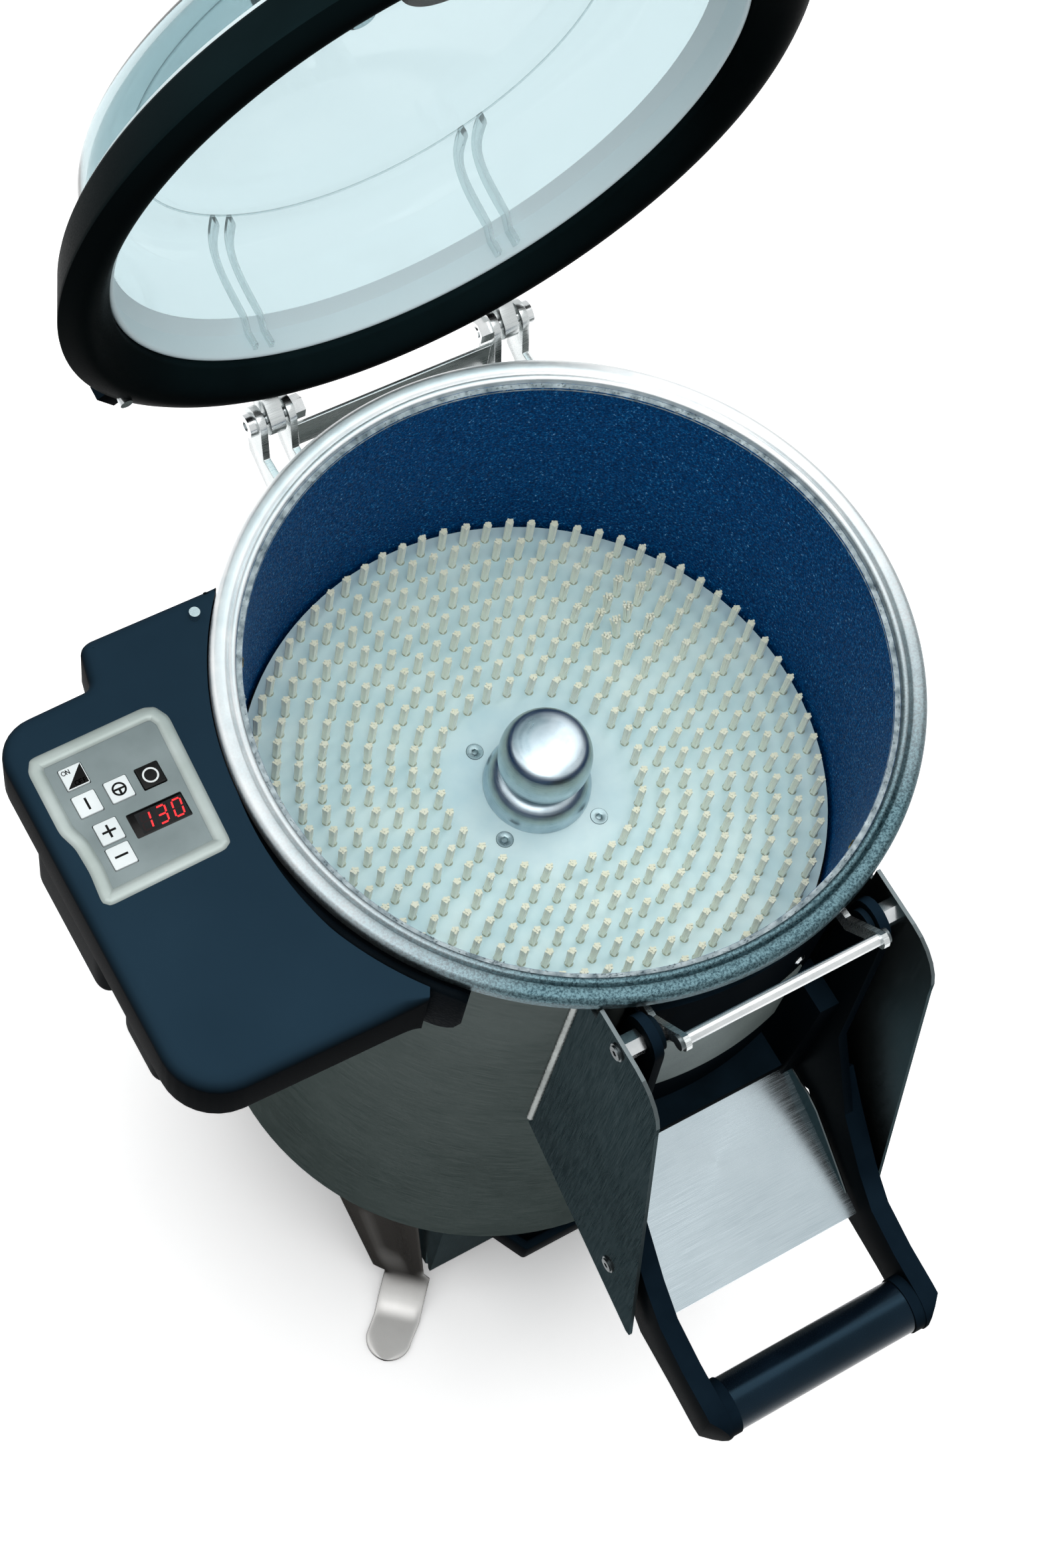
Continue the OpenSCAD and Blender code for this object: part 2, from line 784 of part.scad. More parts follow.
// Outline of the dome in radius and height, moved inwards by a distance
function dome_curve(inset) = concat(
    [for (a = [0 : 15 : 90])
        [step_radius - inset / 2 + (dome_radius - step_radius - inset / 2) * pow(cos(a), 0.6),
        zr + flange_top + (step_height - flange_top - inset) * pow(sin(a), 0.6)]],
    [for (t = [1 / 6 : 1 / 6 : 1.01])
        [(step_radius - inset / 2) * max(0, 1 - t),
        zr + step_height - inset + (dome_height - step_height) * (1 - pow(max(0, 1 - t), 2))]]);

// Space inside the dome down to its foot
module dome_solid(inset) {
    foot = ring_inner - dome_fit - inset;
    rotate_extrude($fn = 96) polygon(concat([[0, zr + dome_foot + 3], [foot, zr + dome_foot + 3],
        [foot, zr + flange_top - 6]], dome_curve(inset)));
}

module lid_dome() {
    foot = ring_inner - dome_fit;
    inner = dome_curve(dome_wall);
    color("#cfe6ea", 0.4) lid_open() {
        rotate_extrude($fn = 96) polygon(concat(
            [[foot - dome_wall, zr + dome_foot], [foot, zr + dome_foot], [foot, zr + ring_top],
            [flange_radius, zr + ring_top], [flange_radius, zr + flange_top]],
            dome_curve(0),
            [for (i = [len(inner) - 1 : -1 : 0]) inner[i]],
            [[foot - dome_wall, zr + flange_top - 6]]));
        intersection() {
            difference() {
                dome_solid(dome_wall - 0.5);
                dome_solid(dome_wall + rib_depth);
            }
            both() for (x = rib_places)
                translate([x - rib_width / 2, sqrt(step_radius * step_radius - x * x), zr + dome_foot])
                    cube([rib_width, 70, 70]);
        }
    }
}

module ring_section() {
    width = ring_radius - ring_inner;
    polygon(concat(
        [for (i = [0 : 8]) [ring_inner + width * i / 8,
            zr + ring_edge + (ring_lip - ring_edge) * i / 8 - ring_sag * sin(180 * i / 8)]],
        [[ring_radius - 0.5, zr + ring_lip + 2], [ring_back, zr + ring_top - dome_fit],
        [ring_inner, zr + ring_top - dome_fit]]));
}

module pin_place() {
    translate([plunger_at[0], plunger_at[1], zr]) children();
}

module lid_ring() {
    color("#14191d") lid_open() difference() {
        rotate_extrude($fn = 96) ring_section();
        pin_place() cylinder(r = 3 + hole_fit, h = 12, $fn = 24);
    }
}

module lid_lugs() {
    color("#b9c4c8") lid_open() both() difference() {
        side_sheet(lid_lug, lid_lug_t) polygon(concat(
            [for (a = [200 : 20 : 400]) [hinge_y + lug_eye * cos(a), hinge_z + lug_eye * sin(a)]],
            [[172, zr + 27], [162, zr + 27], [162, zr + 14]]));
        rotate_extrude($fn = 96) ring_section();
        rod_x(hinge_bolt + run_fit, lid_lug - 2, lid_lug + lid_lug_t + 2, hinge_y, hinge_z);
    }
}

// Stirrup on the crown with two round feet
module lid_handle() {
    color("#15202b") lid_open() difference() {
        union() {
            both() translate([handle_half, handle_y, zr + step_height]) {
                cylinder(r = handle_foot, h = dome_height - step_height + 5, $fn = 48);
                cylinder(r = handle_bar - 1, h = dome_height - step_height + handle_rise, $fn = 32);
            }
            rod_x(handle_bar, -handle_half - handle_bar, handle_half + handle_bar, handle_y,
                zr + dome_height + handle_rise);
        }
        dome_solid(-0.2);
    }
}

module dome_boss() {
    color("#dfeef0", 0.6) lid_open() translate([0, 0, zr + dome_height + 0.1]) difference() {
        cylinder(r = boss_radius, h = 2, $fn = 48);
        translate([0, 0, 1]) cylinder(r = boss_radius - 2.8, h = 2, $fn = 48);
    }
}

module switch_tab() {
    color("#101317") lid_open() difference() {
        rotate([0, 0, plunger_turn]) translate([ring_radius - 9, -8, zr + 8]) cube([14, 16, 7]);
        rotate_extrude($fn = 96) ring_section();
        pin_place() cylinder(r = 3 + hole_fit, h = 12, $fn = 24);
    }
}

module switch_pin() {
    color("#c4c8ca") lid_open() pin_place() translate([0, 0, 1.6]) cylinder(r = 3, h = 10.4, $fn = 24);
}

module brush_plate() {
    color("#c5dde0") on_axis() difference() {
        translate([0, 0, plate_z0]) cylinder(r = plate_radius, h = plate_thickness);
        translate([0, 0, plate_z0 - 1]) cylinder(r = spigot_radius + hole_fit, h = plate_thickness + 2);
        four(screw_circle, screw_turn) {
            translate([0, 0, plate_z0 - 1])
                cylinder(r = screw_r + hole_fit, h = plate_thickness + 2, $fn = 24);
            translate([0, 0, plate_top - 3]) cylinder(r1 = screw_r + hole_fit, r2 = screw_head + hole_fit,
                h = 3, $fn = 32);
        }
    }
}

// Four-sided tufts in staggered rings on a slice of the plate face
module brush_tufts() {
    backing = 0.8;
    color("#d8dcc0") on_axis() resize([0, 0, 0]) union() {
        ring(tuft_inner + tuft_pitch * (tuft_rings - 1) + 3.6, tuft_inner - 5, plate_top, backing);
        for (k = [0 : tuft_rings - 1])
            for (i = [0 : tuft_first + tuft_step * k - 1])
                rotate([0, 0, (i + 0.5 * (k % 2)) * 360 / (tuft_first + tuft_step * k)])
                    translate([tuft_inner + tuft_pitch * k, 0, plate_top + backing / 2])
                        cylinder(r = tuft_width / 2, h = tuft_height - backing / 2, $fn = 4);
    }
}

module hub_knob() {
    waist = knob_foot - 11;
    color("#8fa3b0") on_axis() difference() {
        rotate_extrude($fn = 72) polygon(concat(
            [[0, plate_top], [knob_foot, plate_top], [knob_foot, plate_top + 2]],
            [for (a = [15 : 15 : 75])
                [waist + 11 * cos(a), plate_top + 2 + 13 * sin(a)]],
            [[waist, plate_top + 18], [waist + 1, plate_top + 22], [waist + 4, plate_top + 26]],
            [for (a = [-30 : 15 : 75])
                [waist - 4 + 11 * cos(a), plate_top + knob_height - 18 + 14 * sin(a)]],
            [[waist - 8, plate_top + knob_height - 3], [0, plate_top + knob_height]]));
        translate([0, 0, plate_top - 1]) cylinder(r = spigot_radius + hole_fit, h = 25);
    }
}

module plate_screws() {
    color("#8a9092") on_axis() four(screw_circle, screw_turn) difference() {
        union() {
            translate([0, 0, plate_top - 3]) cylinder(r1 = screw_r, r2 = screw_head, h = 3, $fn = 32);
            translate([0, 0, flange_z0 + 2])
                cylinder(r = screw_r, h = plate_top - flange_z0 - 2.5, $fn = 24);
        }
        translate([0, 0, plate_top - 2]) cylinder(r = 2.3, h = 3, $fn = 6);
    }
}

module drive_shaft() {
    color("#a9aeb0") on_axis() difference() {
        union() {
            translate([0, 0, floor_z0 - 48]) cylinder(r = shaft_radius, h = flange_z0 - floor_z0 + 49);
            translate([0, 0, flange_z0]) cylinder(r = flange_r, h = flange_t);
            translate([0, 0, plate_z0 - 1]) cylinder(r = spigot_radius, h = plate_thickness + 23);
        }
        four(screw_circle, screw_turn) translate([0, 0, flange_z0 - 1])
            cylinder(r = screw_r + hole_fit, h = flange_t + 2, $fn = 24);
    }
}

module door_panel() {
    lip = 13;
    color("#101418") on_axis() {
        difference() {
            intersection() {
                ring(door_out, door_in, door_z0, door_z1 - door_z0);
                translate([-door_half, -200, door_z0 - 1]) cube([2 * door_half, 120, 300]);
            }
            door_rivet_places() translate([0, 0, -door_thickness - 1])
                cylinder(r = 1.5 + hole_fit, h = door_thickness + 2, $fn = 20);
        }
        difference() {
            translate([-door_half, -door_out - lip, door_z0]) cube([2 * door_half, lip + 40, 8]);
            translate([0, 0, door_z0 - 1]) cylinder(r = door_in + 1, h = 12);
        }
        both() difference() {
            translate([door_half - 6, -182, door_z0]) cube([arm_in - door_half + 6, 26, 90]);
            translate([0, 0, door_z0 - 1]) cylinder(r = door_in + 1, h = 120);
        }
    }
}

// Two radial places on the outside of the door
module door_rivet_places() {
    for (a = [-14, 14])
        rotate([0, 0, a - 90]) translate([door_out, 0, zr - 60]) rotate([0, 90, 0]) children();
}

module door_plate() {
    color("#f1f4f2") on_axis() intersection() {
        ring(door_out + 1.2, door_out + 0.2, zr - 140, 64);
        translate([-46, -200, 0]) cube([92, 120, 600]);
    }
}

module door_rivets() {
    color("#9aa0a2") on_axis() door_rivet_places() {
        cylinder(r1 = 3, r2 = 2.2, h = 1.2, $fn = 24);
        translate([0, 0, -door_thickness]) cylinder(r = 1.5, h = door_thickness + 0.5, $fn = 20);
    }
}

// Outline of the curved lower arm, ending in an eye around the grip
module arm_outline() {
    eye = grip_radius + 1.5;
    polygon(concat(
        [[-218, zr - 165], [-244, zr - 192], [-262, zr - 206], [-286, zr - 212]],
        [for (a = [90 : 20 : 270]) [grip_y + eye * cos(a), grip_z + eye * sin(a)]],
        [[-284, zr - 243], [-254, zr - 241], [-226, zr - 220], [-194, zr - 190], [-190, zr - 164],
        [-202, zr - 146]]));
}

// Outline of the flat strap that hangs from the door pivot
module strap_outline() {
    polygon(concat(
        [for (a = [0 : 20 : 180]) [pivot_y + 12 * cos(a), pivot_z + 12 * sin(a)]],
        [[-192, zr - 118], [-219, zr - 166], [-188, zr - 196], [-158, zr - 186], [-157, zr - 100]]));
}

module door_arms() {
    color("#14181c") on_axis() both() difference() {
        union() {
            side_sheet(arm_in, strap_out - arm_in) strap_outline();
            side_sheet(arm_in, arm_out - arm_in) arm_outline();
        }
        rod_x(pivot_radius + run_fit, arm_in - 2, arm_out + 2, pivot_y, pivot_z);
        rod_x(6 + hole_fit, arm_in - 2, arm_in + 6, grip_y, grip_z);
        translate([0, 0, grip_z - 40]) linear_extrude(80) polygon([[arm_out + 1, grip_y - 4],
            [arm_in + 1, grip_y - 16.6], [arm_in + 1, grip_y - 40], [arm_out + 1, grip_y - 40]]);
    }
}

module door_grip() {
    color("#1b2126") on_axis() {
        rod_x(grip_radius, -arm_in + 6, arm_in - 6, grip_y, grip_z, 72);
        rod_x(6, -arm_in - 5, arm_in + 5, grip_y, grip_z);
    }
}

module grip_collars() {
    color("#101317") on_axis() both() difference() {
        rod_x(grip_radius + 0.8, arm_in - 6, arm_in, grip_y, grip_z, 72);
        rod_x(6 + hole_fit, arm_in - 8, arm_in + 2, grip_y, grip_z);
    }
}

drum_shell();
drum_rim();
abrasive_liner();
liner_rivets();
bottom_plate();
base_box();
base_covers();
waste_spout();
drain_duct();
legs();
leg_bolts();
gear_motor();
motor_bolts();
shaft_seal();
control_housing();
housing_belly();
housing_gasket();
control_bezel();
membrane_panel();
display_module();
display_window();
control_board();
key_on_off();
key_start();
key_stop();
key_pulse();
key_plus();
key_minus();
switch_plunger();
lid_switch();
chute_panel_left();
chute_panel_right();
chute_floor();
pivot_standoffs();
pivot_washers();
panel_screws();
guide_pads();
catch_rod();
catch_arms();
catch_screws();
hinge_bracket();
hinge_bolts();
lid_dome();
lid_ring();
lid_lugs();
lid_handle();
dome_boss();
switch_tab();
switch_pin();
brush_plate();
brush_tufts();
hub_knob();
plate_screws();
drive_shaft();
door_panel();
door_plate();
door_rivets();
door_arms();
door_grip();
grip_collars();
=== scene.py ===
"""Dressed scene of a mussel cleaning machine: finishes, bristles, trim, studio light and camera."""

from __future__ import annotations

import logging
import math
import random
from dataclasses import dataclass, field
from enum import Enum
from typing import Mapping, Sequence

import bmesh
import bpy
from mathutils import Matrix, Vector


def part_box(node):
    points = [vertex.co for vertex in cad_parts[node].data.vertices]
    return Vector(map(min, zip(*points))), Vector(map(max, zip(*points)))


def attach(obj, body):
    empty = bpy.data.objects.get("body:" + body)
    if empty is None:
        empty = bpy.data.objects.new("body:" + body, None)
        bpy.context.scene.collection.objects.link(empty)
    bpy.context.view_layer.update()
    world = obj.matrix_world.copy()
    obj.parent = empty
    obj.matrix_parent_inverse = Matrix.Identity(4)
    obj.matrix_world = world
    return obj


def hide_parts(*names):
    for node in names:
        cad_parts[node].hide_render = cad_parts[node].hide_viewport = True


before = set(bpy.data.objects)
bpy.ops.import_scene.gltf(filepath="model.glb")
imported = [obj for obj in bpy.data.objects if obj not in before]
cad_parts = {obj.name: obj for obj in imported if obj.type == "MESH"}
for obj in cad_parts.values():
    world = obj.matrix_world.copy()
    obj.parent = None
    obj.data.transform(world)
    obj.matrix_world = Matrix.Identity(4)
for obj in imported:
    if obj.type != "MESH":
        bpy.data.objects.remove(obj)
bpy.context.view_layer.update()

LOG = logging.getLogger("mussel_cleaner")
MM = 0.001
PHOTO_SIZE = (1568, 2361)

Point2 = tuple[float, float]
Point3 = tuple[float, float, float]
Faces = list[tuple[int, ...]]
Settings = Mapping[str | int, object]
Links = Mapping[str | int, bpy.types.NodeSocket]


def linear(hex_code: str) -> tuple[float, float, float, float]:
    """Turns an sRGB hex colour into scene-linear RGBA.

    Args:
        hex_code: Colour such as "#a0b0c0".

    Returns:
        Linear red, green and blue, and an alpha of 1.
    """
    values = [int(hex_code[i:i + 2], 16) / 255 for i in (1, 3, 5)]
    red, green, blue = (v / 12.92 if v <= 0.04045 else ((v + 0.055) / 1.055) ** 2.4 for v in values)
    return (red, green, blue, 1.0)


def add_node(tree: bpy.types.NodeTree, kind: str, settings: Settings | None = None,
             links: Links | None = None) -> bpy.types.Node:
    """Adds one shader node with its settings and incoming links.

    Args:
        tree: Node tree to add to.
        kind: Node type name.
        settings: Values by input or attribute; "stops" holds a colour ramp's places and hex colours.
        links: Source sockets by input name or number.

    Returns:
        The new node.
    """
    node = tree.nodes.new(kind)
    for key, value in (settings or {}).items():
        if key == "stops":
            elements = node.color_ramp.elements
            while len(elements) < len(value):
                elements.new(0.5)
            for element, (place, colour) in zip(elements, value):
                element.position = place
                element.color = linear(colour)
        elif isinstance(key, int) or key in node.inputs:
            node.inputs[key].default_value = value
        else:
            setattr(node, key, value)
    for key, socket in (links or {}).items():
        tree.links.new(socket, node.inputs[key])
    return node


def seen(tree: bpy.types.NodeTree) -> bpy.types.NodeSocket:
    """Tells rays that show the background from rays that light the object.

    Args:
        tree: Node tree of the floor or of the world.

    Returns:
        1 for what the eye sees itself, in metal or through glass.
    """
    path = add_node(tree, "ShaderNodeLightPath")
    share = path.outputs["Is Camera Ray"]
    for other in ("Is Glossy Ray", "Is Transmission Ray"):
        both = add_node(tree, "ShaderNodeMath", {"operation": "MAXIMUM"}, {0: share, 1: path.outputs[other]})
        share = both.outputs["Value"]
    return share


class Grain(Enum):
    """Direction of the brushing on sheet metal, as stretch factors of the pattern."""

    ALONG_X = (0.02, 1.0, 1.0)
    ALONG_Z = (1.0, 1.0, 0.02)
    AROUND = (0.03, 0.03, 1.0)
    NONE = (1.0, 1.0, 1.0)


class Shade(Enum):
    """How edges of a piece are shaded: the angle in degrees from which an edge stays sharp."""

    SMOOTH = 180.0
    SOFT = 50.0
    CRISP = 30.0


class Surface:
    """A material under construction: principled shader and patterns scaled in millimetres."""

    def __init__(self, name: str) -> None:
        """Starts an empty material.

        Args:
            name: Material name, the real stuff and how its surface was made.
        """
        self.material = bpy.data.materials.new(name)
        self.material.use_nodes = True
        self.tree = self.material.node_tree
        self.tree.nodes.clear()
        self.shader = add_node(self.tree, "ShaderNodeBsdfPrincipled")
        add_node(self.tree, "ShaderNodeOutputMaterial", links={"Surface": self.shader.outputs["BSDF"]})
        self.place = self.add("ShaderNodeTexCoord", "Object")

    def add(self, kind: str, output: str, settings: Settings | None = None,
            links: Links | None = None) -> bpy.types.NodeSocket:
        """Adds a node to this material.

        Args:
            kind: Node type name.
            output: Name of the output that is wanted.
            settings: Values by input or attribute.
            links: Source sockets by input name or number.

        Returns:
            The named output.
        """
        return add_node(self.tree, kind, settings, links).outputs[output]

    def set(self, **values: object) -> None:
        """Sets constants on the shader's own sockets.

        Args:
            **values: Values by socket name, with underscores for spaces.
        """
        for key, value in values.items():
            self.shader.inputs[key.replace("_", " ")].default_value = value

    def link(self, socket_name: str, source: bpy.types.NodeSocket) -> None:
        """Links a source to a socket of the shader.

        Args:
            socket_name: Name of the shader input.
            source: Output socket to link.
        """
        self.tree.links.new(source, self.shader.inputs[socket_name])

    def mottle(self, size_mm: float, detail: float = 3.0, stretch: Sequence[float] = (1, 1, 1),
               rough: float = 0.5) -> bpy.types.NodeSocket:
        """Gives an irregular pattern of a real size.

        Args:
            size_mm: Size of its main features.
            detail: Octaves of finer pattern.
            stretch: Stretch factors along X, Y and Z.
            rough: Weight of the finer octaves.

        Returns:
            The pattern's value.
        """
        place = self.add("ShaderNodeMapping", "Vector", {"Scale": tuple(stretch)}, {"Vector": self.place})
        return self.add("ShaderNodeTexNoise", "Fac", {
            "Scale": 1.0 / (size_mm * MM), "Detail": detail, "Roughness": rough}, {"Vector": place})

    def share(self, value: bpy.types.NodeSocket, start: float, end: float,
              low: float = 0.0, high: float = 1.0) -> bpy.types.NodeSocket:
        """Turns a pattern or a place into a share, held between two limits.

        Args:
            value: Pattern value or coordinate.
            start: Value that gives the low limit.
            end: Value that gives the high limit.
            low: Low limit.
            high: High limit.

        Returns:
            The share.
        """
        return self.add("ShaderNodeMapRange", "Result",
                        {"From Min": start, "From Max": end, "To Min": low, "To Max": high}, {"Value": value})

    def dull(self, pattern: bpy.types.NodeSocket, low: float, high: float) -> None:
        """Lets the roughness follow a pattern.

        Args:
            pattern: Pattern value.
            low: Roughness where the pattern is low.
            high: Roughness where it is high.
        """
        self.link("Roughness", self.share(pattern, 0.3, 0.7, low, high))

    def colour(self, level: bpy.types.NodeSocket, side: str) -> None:
        """Colours the surface, with upright and hanging faces in a colour of their own that is painted shade or
        painted light, set by how light falls on them.

        Args:
            level: Colour of level faces.
            side: Hex colour painted on upright and hanging faces as their shade or light, or nothing to leave
                them.
        """
        # Painted shade or light: faces blend into the side colour as they turn from level to upright or
        # hanging.
        if side:
            normal = self.add("ShaderNodeNewGeometry", "Normal")
            rise = self.add("ShaderNodeSeparateXYZ", "Z", links={"Vector": normal})
            level = self.add("ShaderNodeMixRGB", "Color", {"Color1": linear(side)},
                             {"Fac": self.share(rise, 0.1, 0.85), "Color2": level})
        self.link("Base Color", level)

    def relief(self, height: bpy.types.NodeSocket, depth_mm: float, strength: float = 1.0) -> None:
        """Gives the surface relief.

        Args:
            height: Pattern of heights.
            depth_mm: Height of the relief.
            strength: Weight of the relief.
        """
        self.link("Normal", self.add("ShaderNodeBump", "Normal",
                                     {"Strength": strength, "Distance": depth_mm * MM}, {"Height": height}))


@dataclass(frozen=True)
class Metal:
    """Metal with a ground, turned or cast surface."""

    name: str
    dark: str
    light: str
    roughness: float
    grain: Grain = Grain.NONE
    streak_mm: float = 0.5
    relief_mm: float = 0.02
    anisotropy: float = 0.0
    cloud_mm: float = 40.0
    # Colour painted on upright and hanging faces as their shade or light; none if left empty.
    side: str = ""
    edge: str = "#ffffff"

    def build(self) -> bpy.types.Material:
        """Builds the material.

        Returns:
            The new material.
        """
        surface = Surface(self.name)
        streaks = surface.mottle(self.streak_mm, 4.0, self.grain.value)
        clouds = surface.mottle(self.cloud_mm, 5.0, rough=0.6)
        colour = surface.add("ShaderNodeValToRGB", "Color",
                             {"stops": ((0.32, self.dark), (0.68, self.light))}, {"Fac": clouds})
        if self.grain is not Grain.NONE:
            share = surface.share(streaks, 0.3, 0.7, high=0.9)
            colour = surface.add("ShaderNodeMixRGB", "Color", {"Color2": linear(self.light)},
                                 {"Fac": share, "Color1": colour})
        surface.colour(colour, self.side)
        surface.dull(streaks, self.roughness - 0.06, self.roughness + 0.07)
        surface.relief(streaks, self.relief_mm, 0.6)
        surface.set(Metallic=1.0, Anisotropic=self.anisotropy, Specular_Tint=linear(self.edge))
        return surface.material


@dataclass(frozen=True)
class Moulded:
    """Moulded, cut, printed or painted polymer with a fine skin."""

    name: str
    dark: str
    light: str
    roughness: float
    pore_mm: float = 0.6
    relief_mm: float = 0.03
    specular: float = 0.5
    metallic: float = 0.0
    subsurface: float = 0.0
    sheen: float = 0.0
    cloud_mm: float = 25.0
    knurl_mm: float = 0.0
    # Colour painted on upright and hanging faces as their shade or light; none if left empty.
    side: str = ""
    gloss_tint: str = "#ffffff"

    def build(self) -> bpy.types.Material:
        """Builds the material.

        Returns:
            The new material.
        """
        surface = Surface(self.name)
        pores = surface.mottle(self.pore_mm, 2.0)
        clouds = surface.mottle(self.cloud_mm, 4.0)
        colour = surface.add("ShaderNodeValToRGB", "Color",
                             {"stops": ((0.3, self.dark), (0.7, self.light))}, {"Fac": clouds})
        surface.colour(colour, self.side)
        surface.dull(pores, self.roughness - 0.05, self.roughness + 0.07)
        height = pores
        if self.knurl_mm:
            height = surface.add("ShaderNodeTexVoronoi", "Distance", {"Scale": 1.0 / (self.knurl_mm * MM)},
                                 {"Vector": surface.place})
        surface.relief(height, self.relief_mm, 0.5)
        surface.set(Metallic=self.metallic, Specular_IOR_Level=self.specular,
                    Specular_Tint=linear(self.gloss_tint), Sheen_Weight=self.sheen, Sheen_Roughness=0.4,
                    Subsurface_Weight=self.subsurface, Subsurface_Scale=3.0 * MM,
                    Subsurface_Radius=(1.0, 1.0, 0.9))
        return surface.material


@dataclass(frozen=True)
class PaintedLightWornRim:
    """Rolled sheet edge, painted white at the rear as painted light and dark grey at the front as painted
    shade, the front also dull and pitted with wear.
    """

    name: str
    # Rear colours are painted light; front colours are painted shade together with the pitted wear.
    painted_light_rear: tuple[str, str]
    worn: tuple[str, str]
    roughness: float
    pit_mm: float = 1.2
    cloud_mm: float = 12.0
    shade_and_wear_y: float = -110.0
    painted_light_y: float = 140.0

    def build(self) -> bpy.types.Material:
        """Builds the material.

        Returns:
            The new material.
        """
        surface = Surface(self.name)
        pits = surface.mottle(self.pit_mm, 4.0, rough=0.75)
        painted_light_rear = surface.add("ShaderNodeValToRGB", "Color", {"stops": tuple(zip((0.3, 0.7), self.painted_light_rear))},
                            {"Fac": surface.mottle(self.cloud_mm, 3.0)})
        worn = surface.add("ShaderNodeValToRGB", "Color", {"stops": tuple(zip((0.4, 0.6), self.worn))},
                           {"Fac": pits})
        # Painted light and shade: along Y the colour goes from the dark pitted front, painted shade with wear,
        # to the white rear, painted light.
        rear = surface.add("ShaderNodeSeparateXYZ", "Y", links={"Vector": surface.place})
        share = surface.share(rear, self.shade_and_wear_y * MM, self.painted_light_y * MM)
        surface.colour(surface.add("ShaderNodeMixRGB", "Color",
                                   links={"Fac": share, "Color1": worn, "Color2": painted_light_rear}), "")
        surface.dull(pits, self.roughness - 0.08, self.roughness + 0.1)
        surface.relief(pits, 0.06, 0.6)
        surface.set(Metallic=1.0)
        return surface.material


@dataclass(frozen=True)
class Paper:
    """Studio paper that the eye, metal and glass see white, and that keeps the object's shadow."""

    name: str
    dull: str
    shown: float

    def build(self) -> bpy.types.Material:
        """Builds the material.

        Returns:
            The new material.
        """
        surface = Surface(self.name)
        surface.colour(surface.add(
            "ShaderNodeMixRGB", "Color",
            {"Color1": linear(self.dull), "Color2": (self.shown, self.shown, self.shown, 1.0)},
            {"Fac": seen(surface.tree)}), "")
        surface.relief(surface.mottle(4.0, 2.0), 0.05, 0.3)
        surface.set(Roughness=0.9, Specular_IOR_Level=0.0)
        return surface.material


@dataclass(frozen=True)
class Abrasive:
    """Sheet coated with coarse abrasive grain."""

    name: str
    stops: tuple[tuple[float, str], ...]
    grain_mm: float
    gloss_tint: str = "#7fb4d8"

    def build(self) -> bpy.types.Material:
        """Builds the material.

        Returns:
            The new material.
        """
        surface = Surface(self.name)
        grit = surface.mottle(self.grain_mm, 3.0, rough=0.7)
        facets = surface.add("ShaderNodeTexVoronoi", "Distance", {"Scale": 1.0 / (self.grain_mm * 0.8 * MM)},
                             {"Vector": surface.place})
        # The palest stops put pale specks into the colour, partly grain and partly painted sparkle.
        surface.colour(surface.add("ShaderNodeValToRGB", "Color", {"stops": self.stops}, {"Fac": grit}), "")
        surface.link("Roughness", surface.share(facets, 0.1, 0.6, 0.25, 0.75))
        surface.relief(grit, 0.55)
        surface.set(Specular_IOR_Level=0.12, Specular_Tint=linear(self.gloss_tint))
        return surface.material


@dataclass(frozen=True)
class Clear:
    """Clear moulded polymer."""

    name: str
    tint: str
    roughness: float
    clearness: float
    ior: float

    def build(self) -> bpy.types.Material:
        """Builds the material.

        Returns:
            The new material.
        """
        surface = Surface(self.name)
        surface.dull(surface.mottle(30.0, 4.0), self.roughness, self.roughness + 0.05)
        surface.relief(surface.mottle(60.0, 1.0), 0.05, 0.2)
        surface.set(Base_Color=linear(self.tint), Transmission_Weight=self.clearness, IOR=self.ior)
        return surface.material


@dataclass(frozen=True)
class Glow:
    """Lit light-emitting segment."""

    name: str
    colour: str
    strength: float

    def build(self) -> bpy.types.Material:
        """Builds the material.

        Returns:
            The new material.
        """
        surface = Surface(self.name)
        surface.dull(surface.mottle(0.8, 1.0), 0.3, 0.5)
        surface.set(Base_Color=linear(self.colour), Emission_Color=linear(self.colour),
                    Emission_Strength=self.strength)
        return surface.material


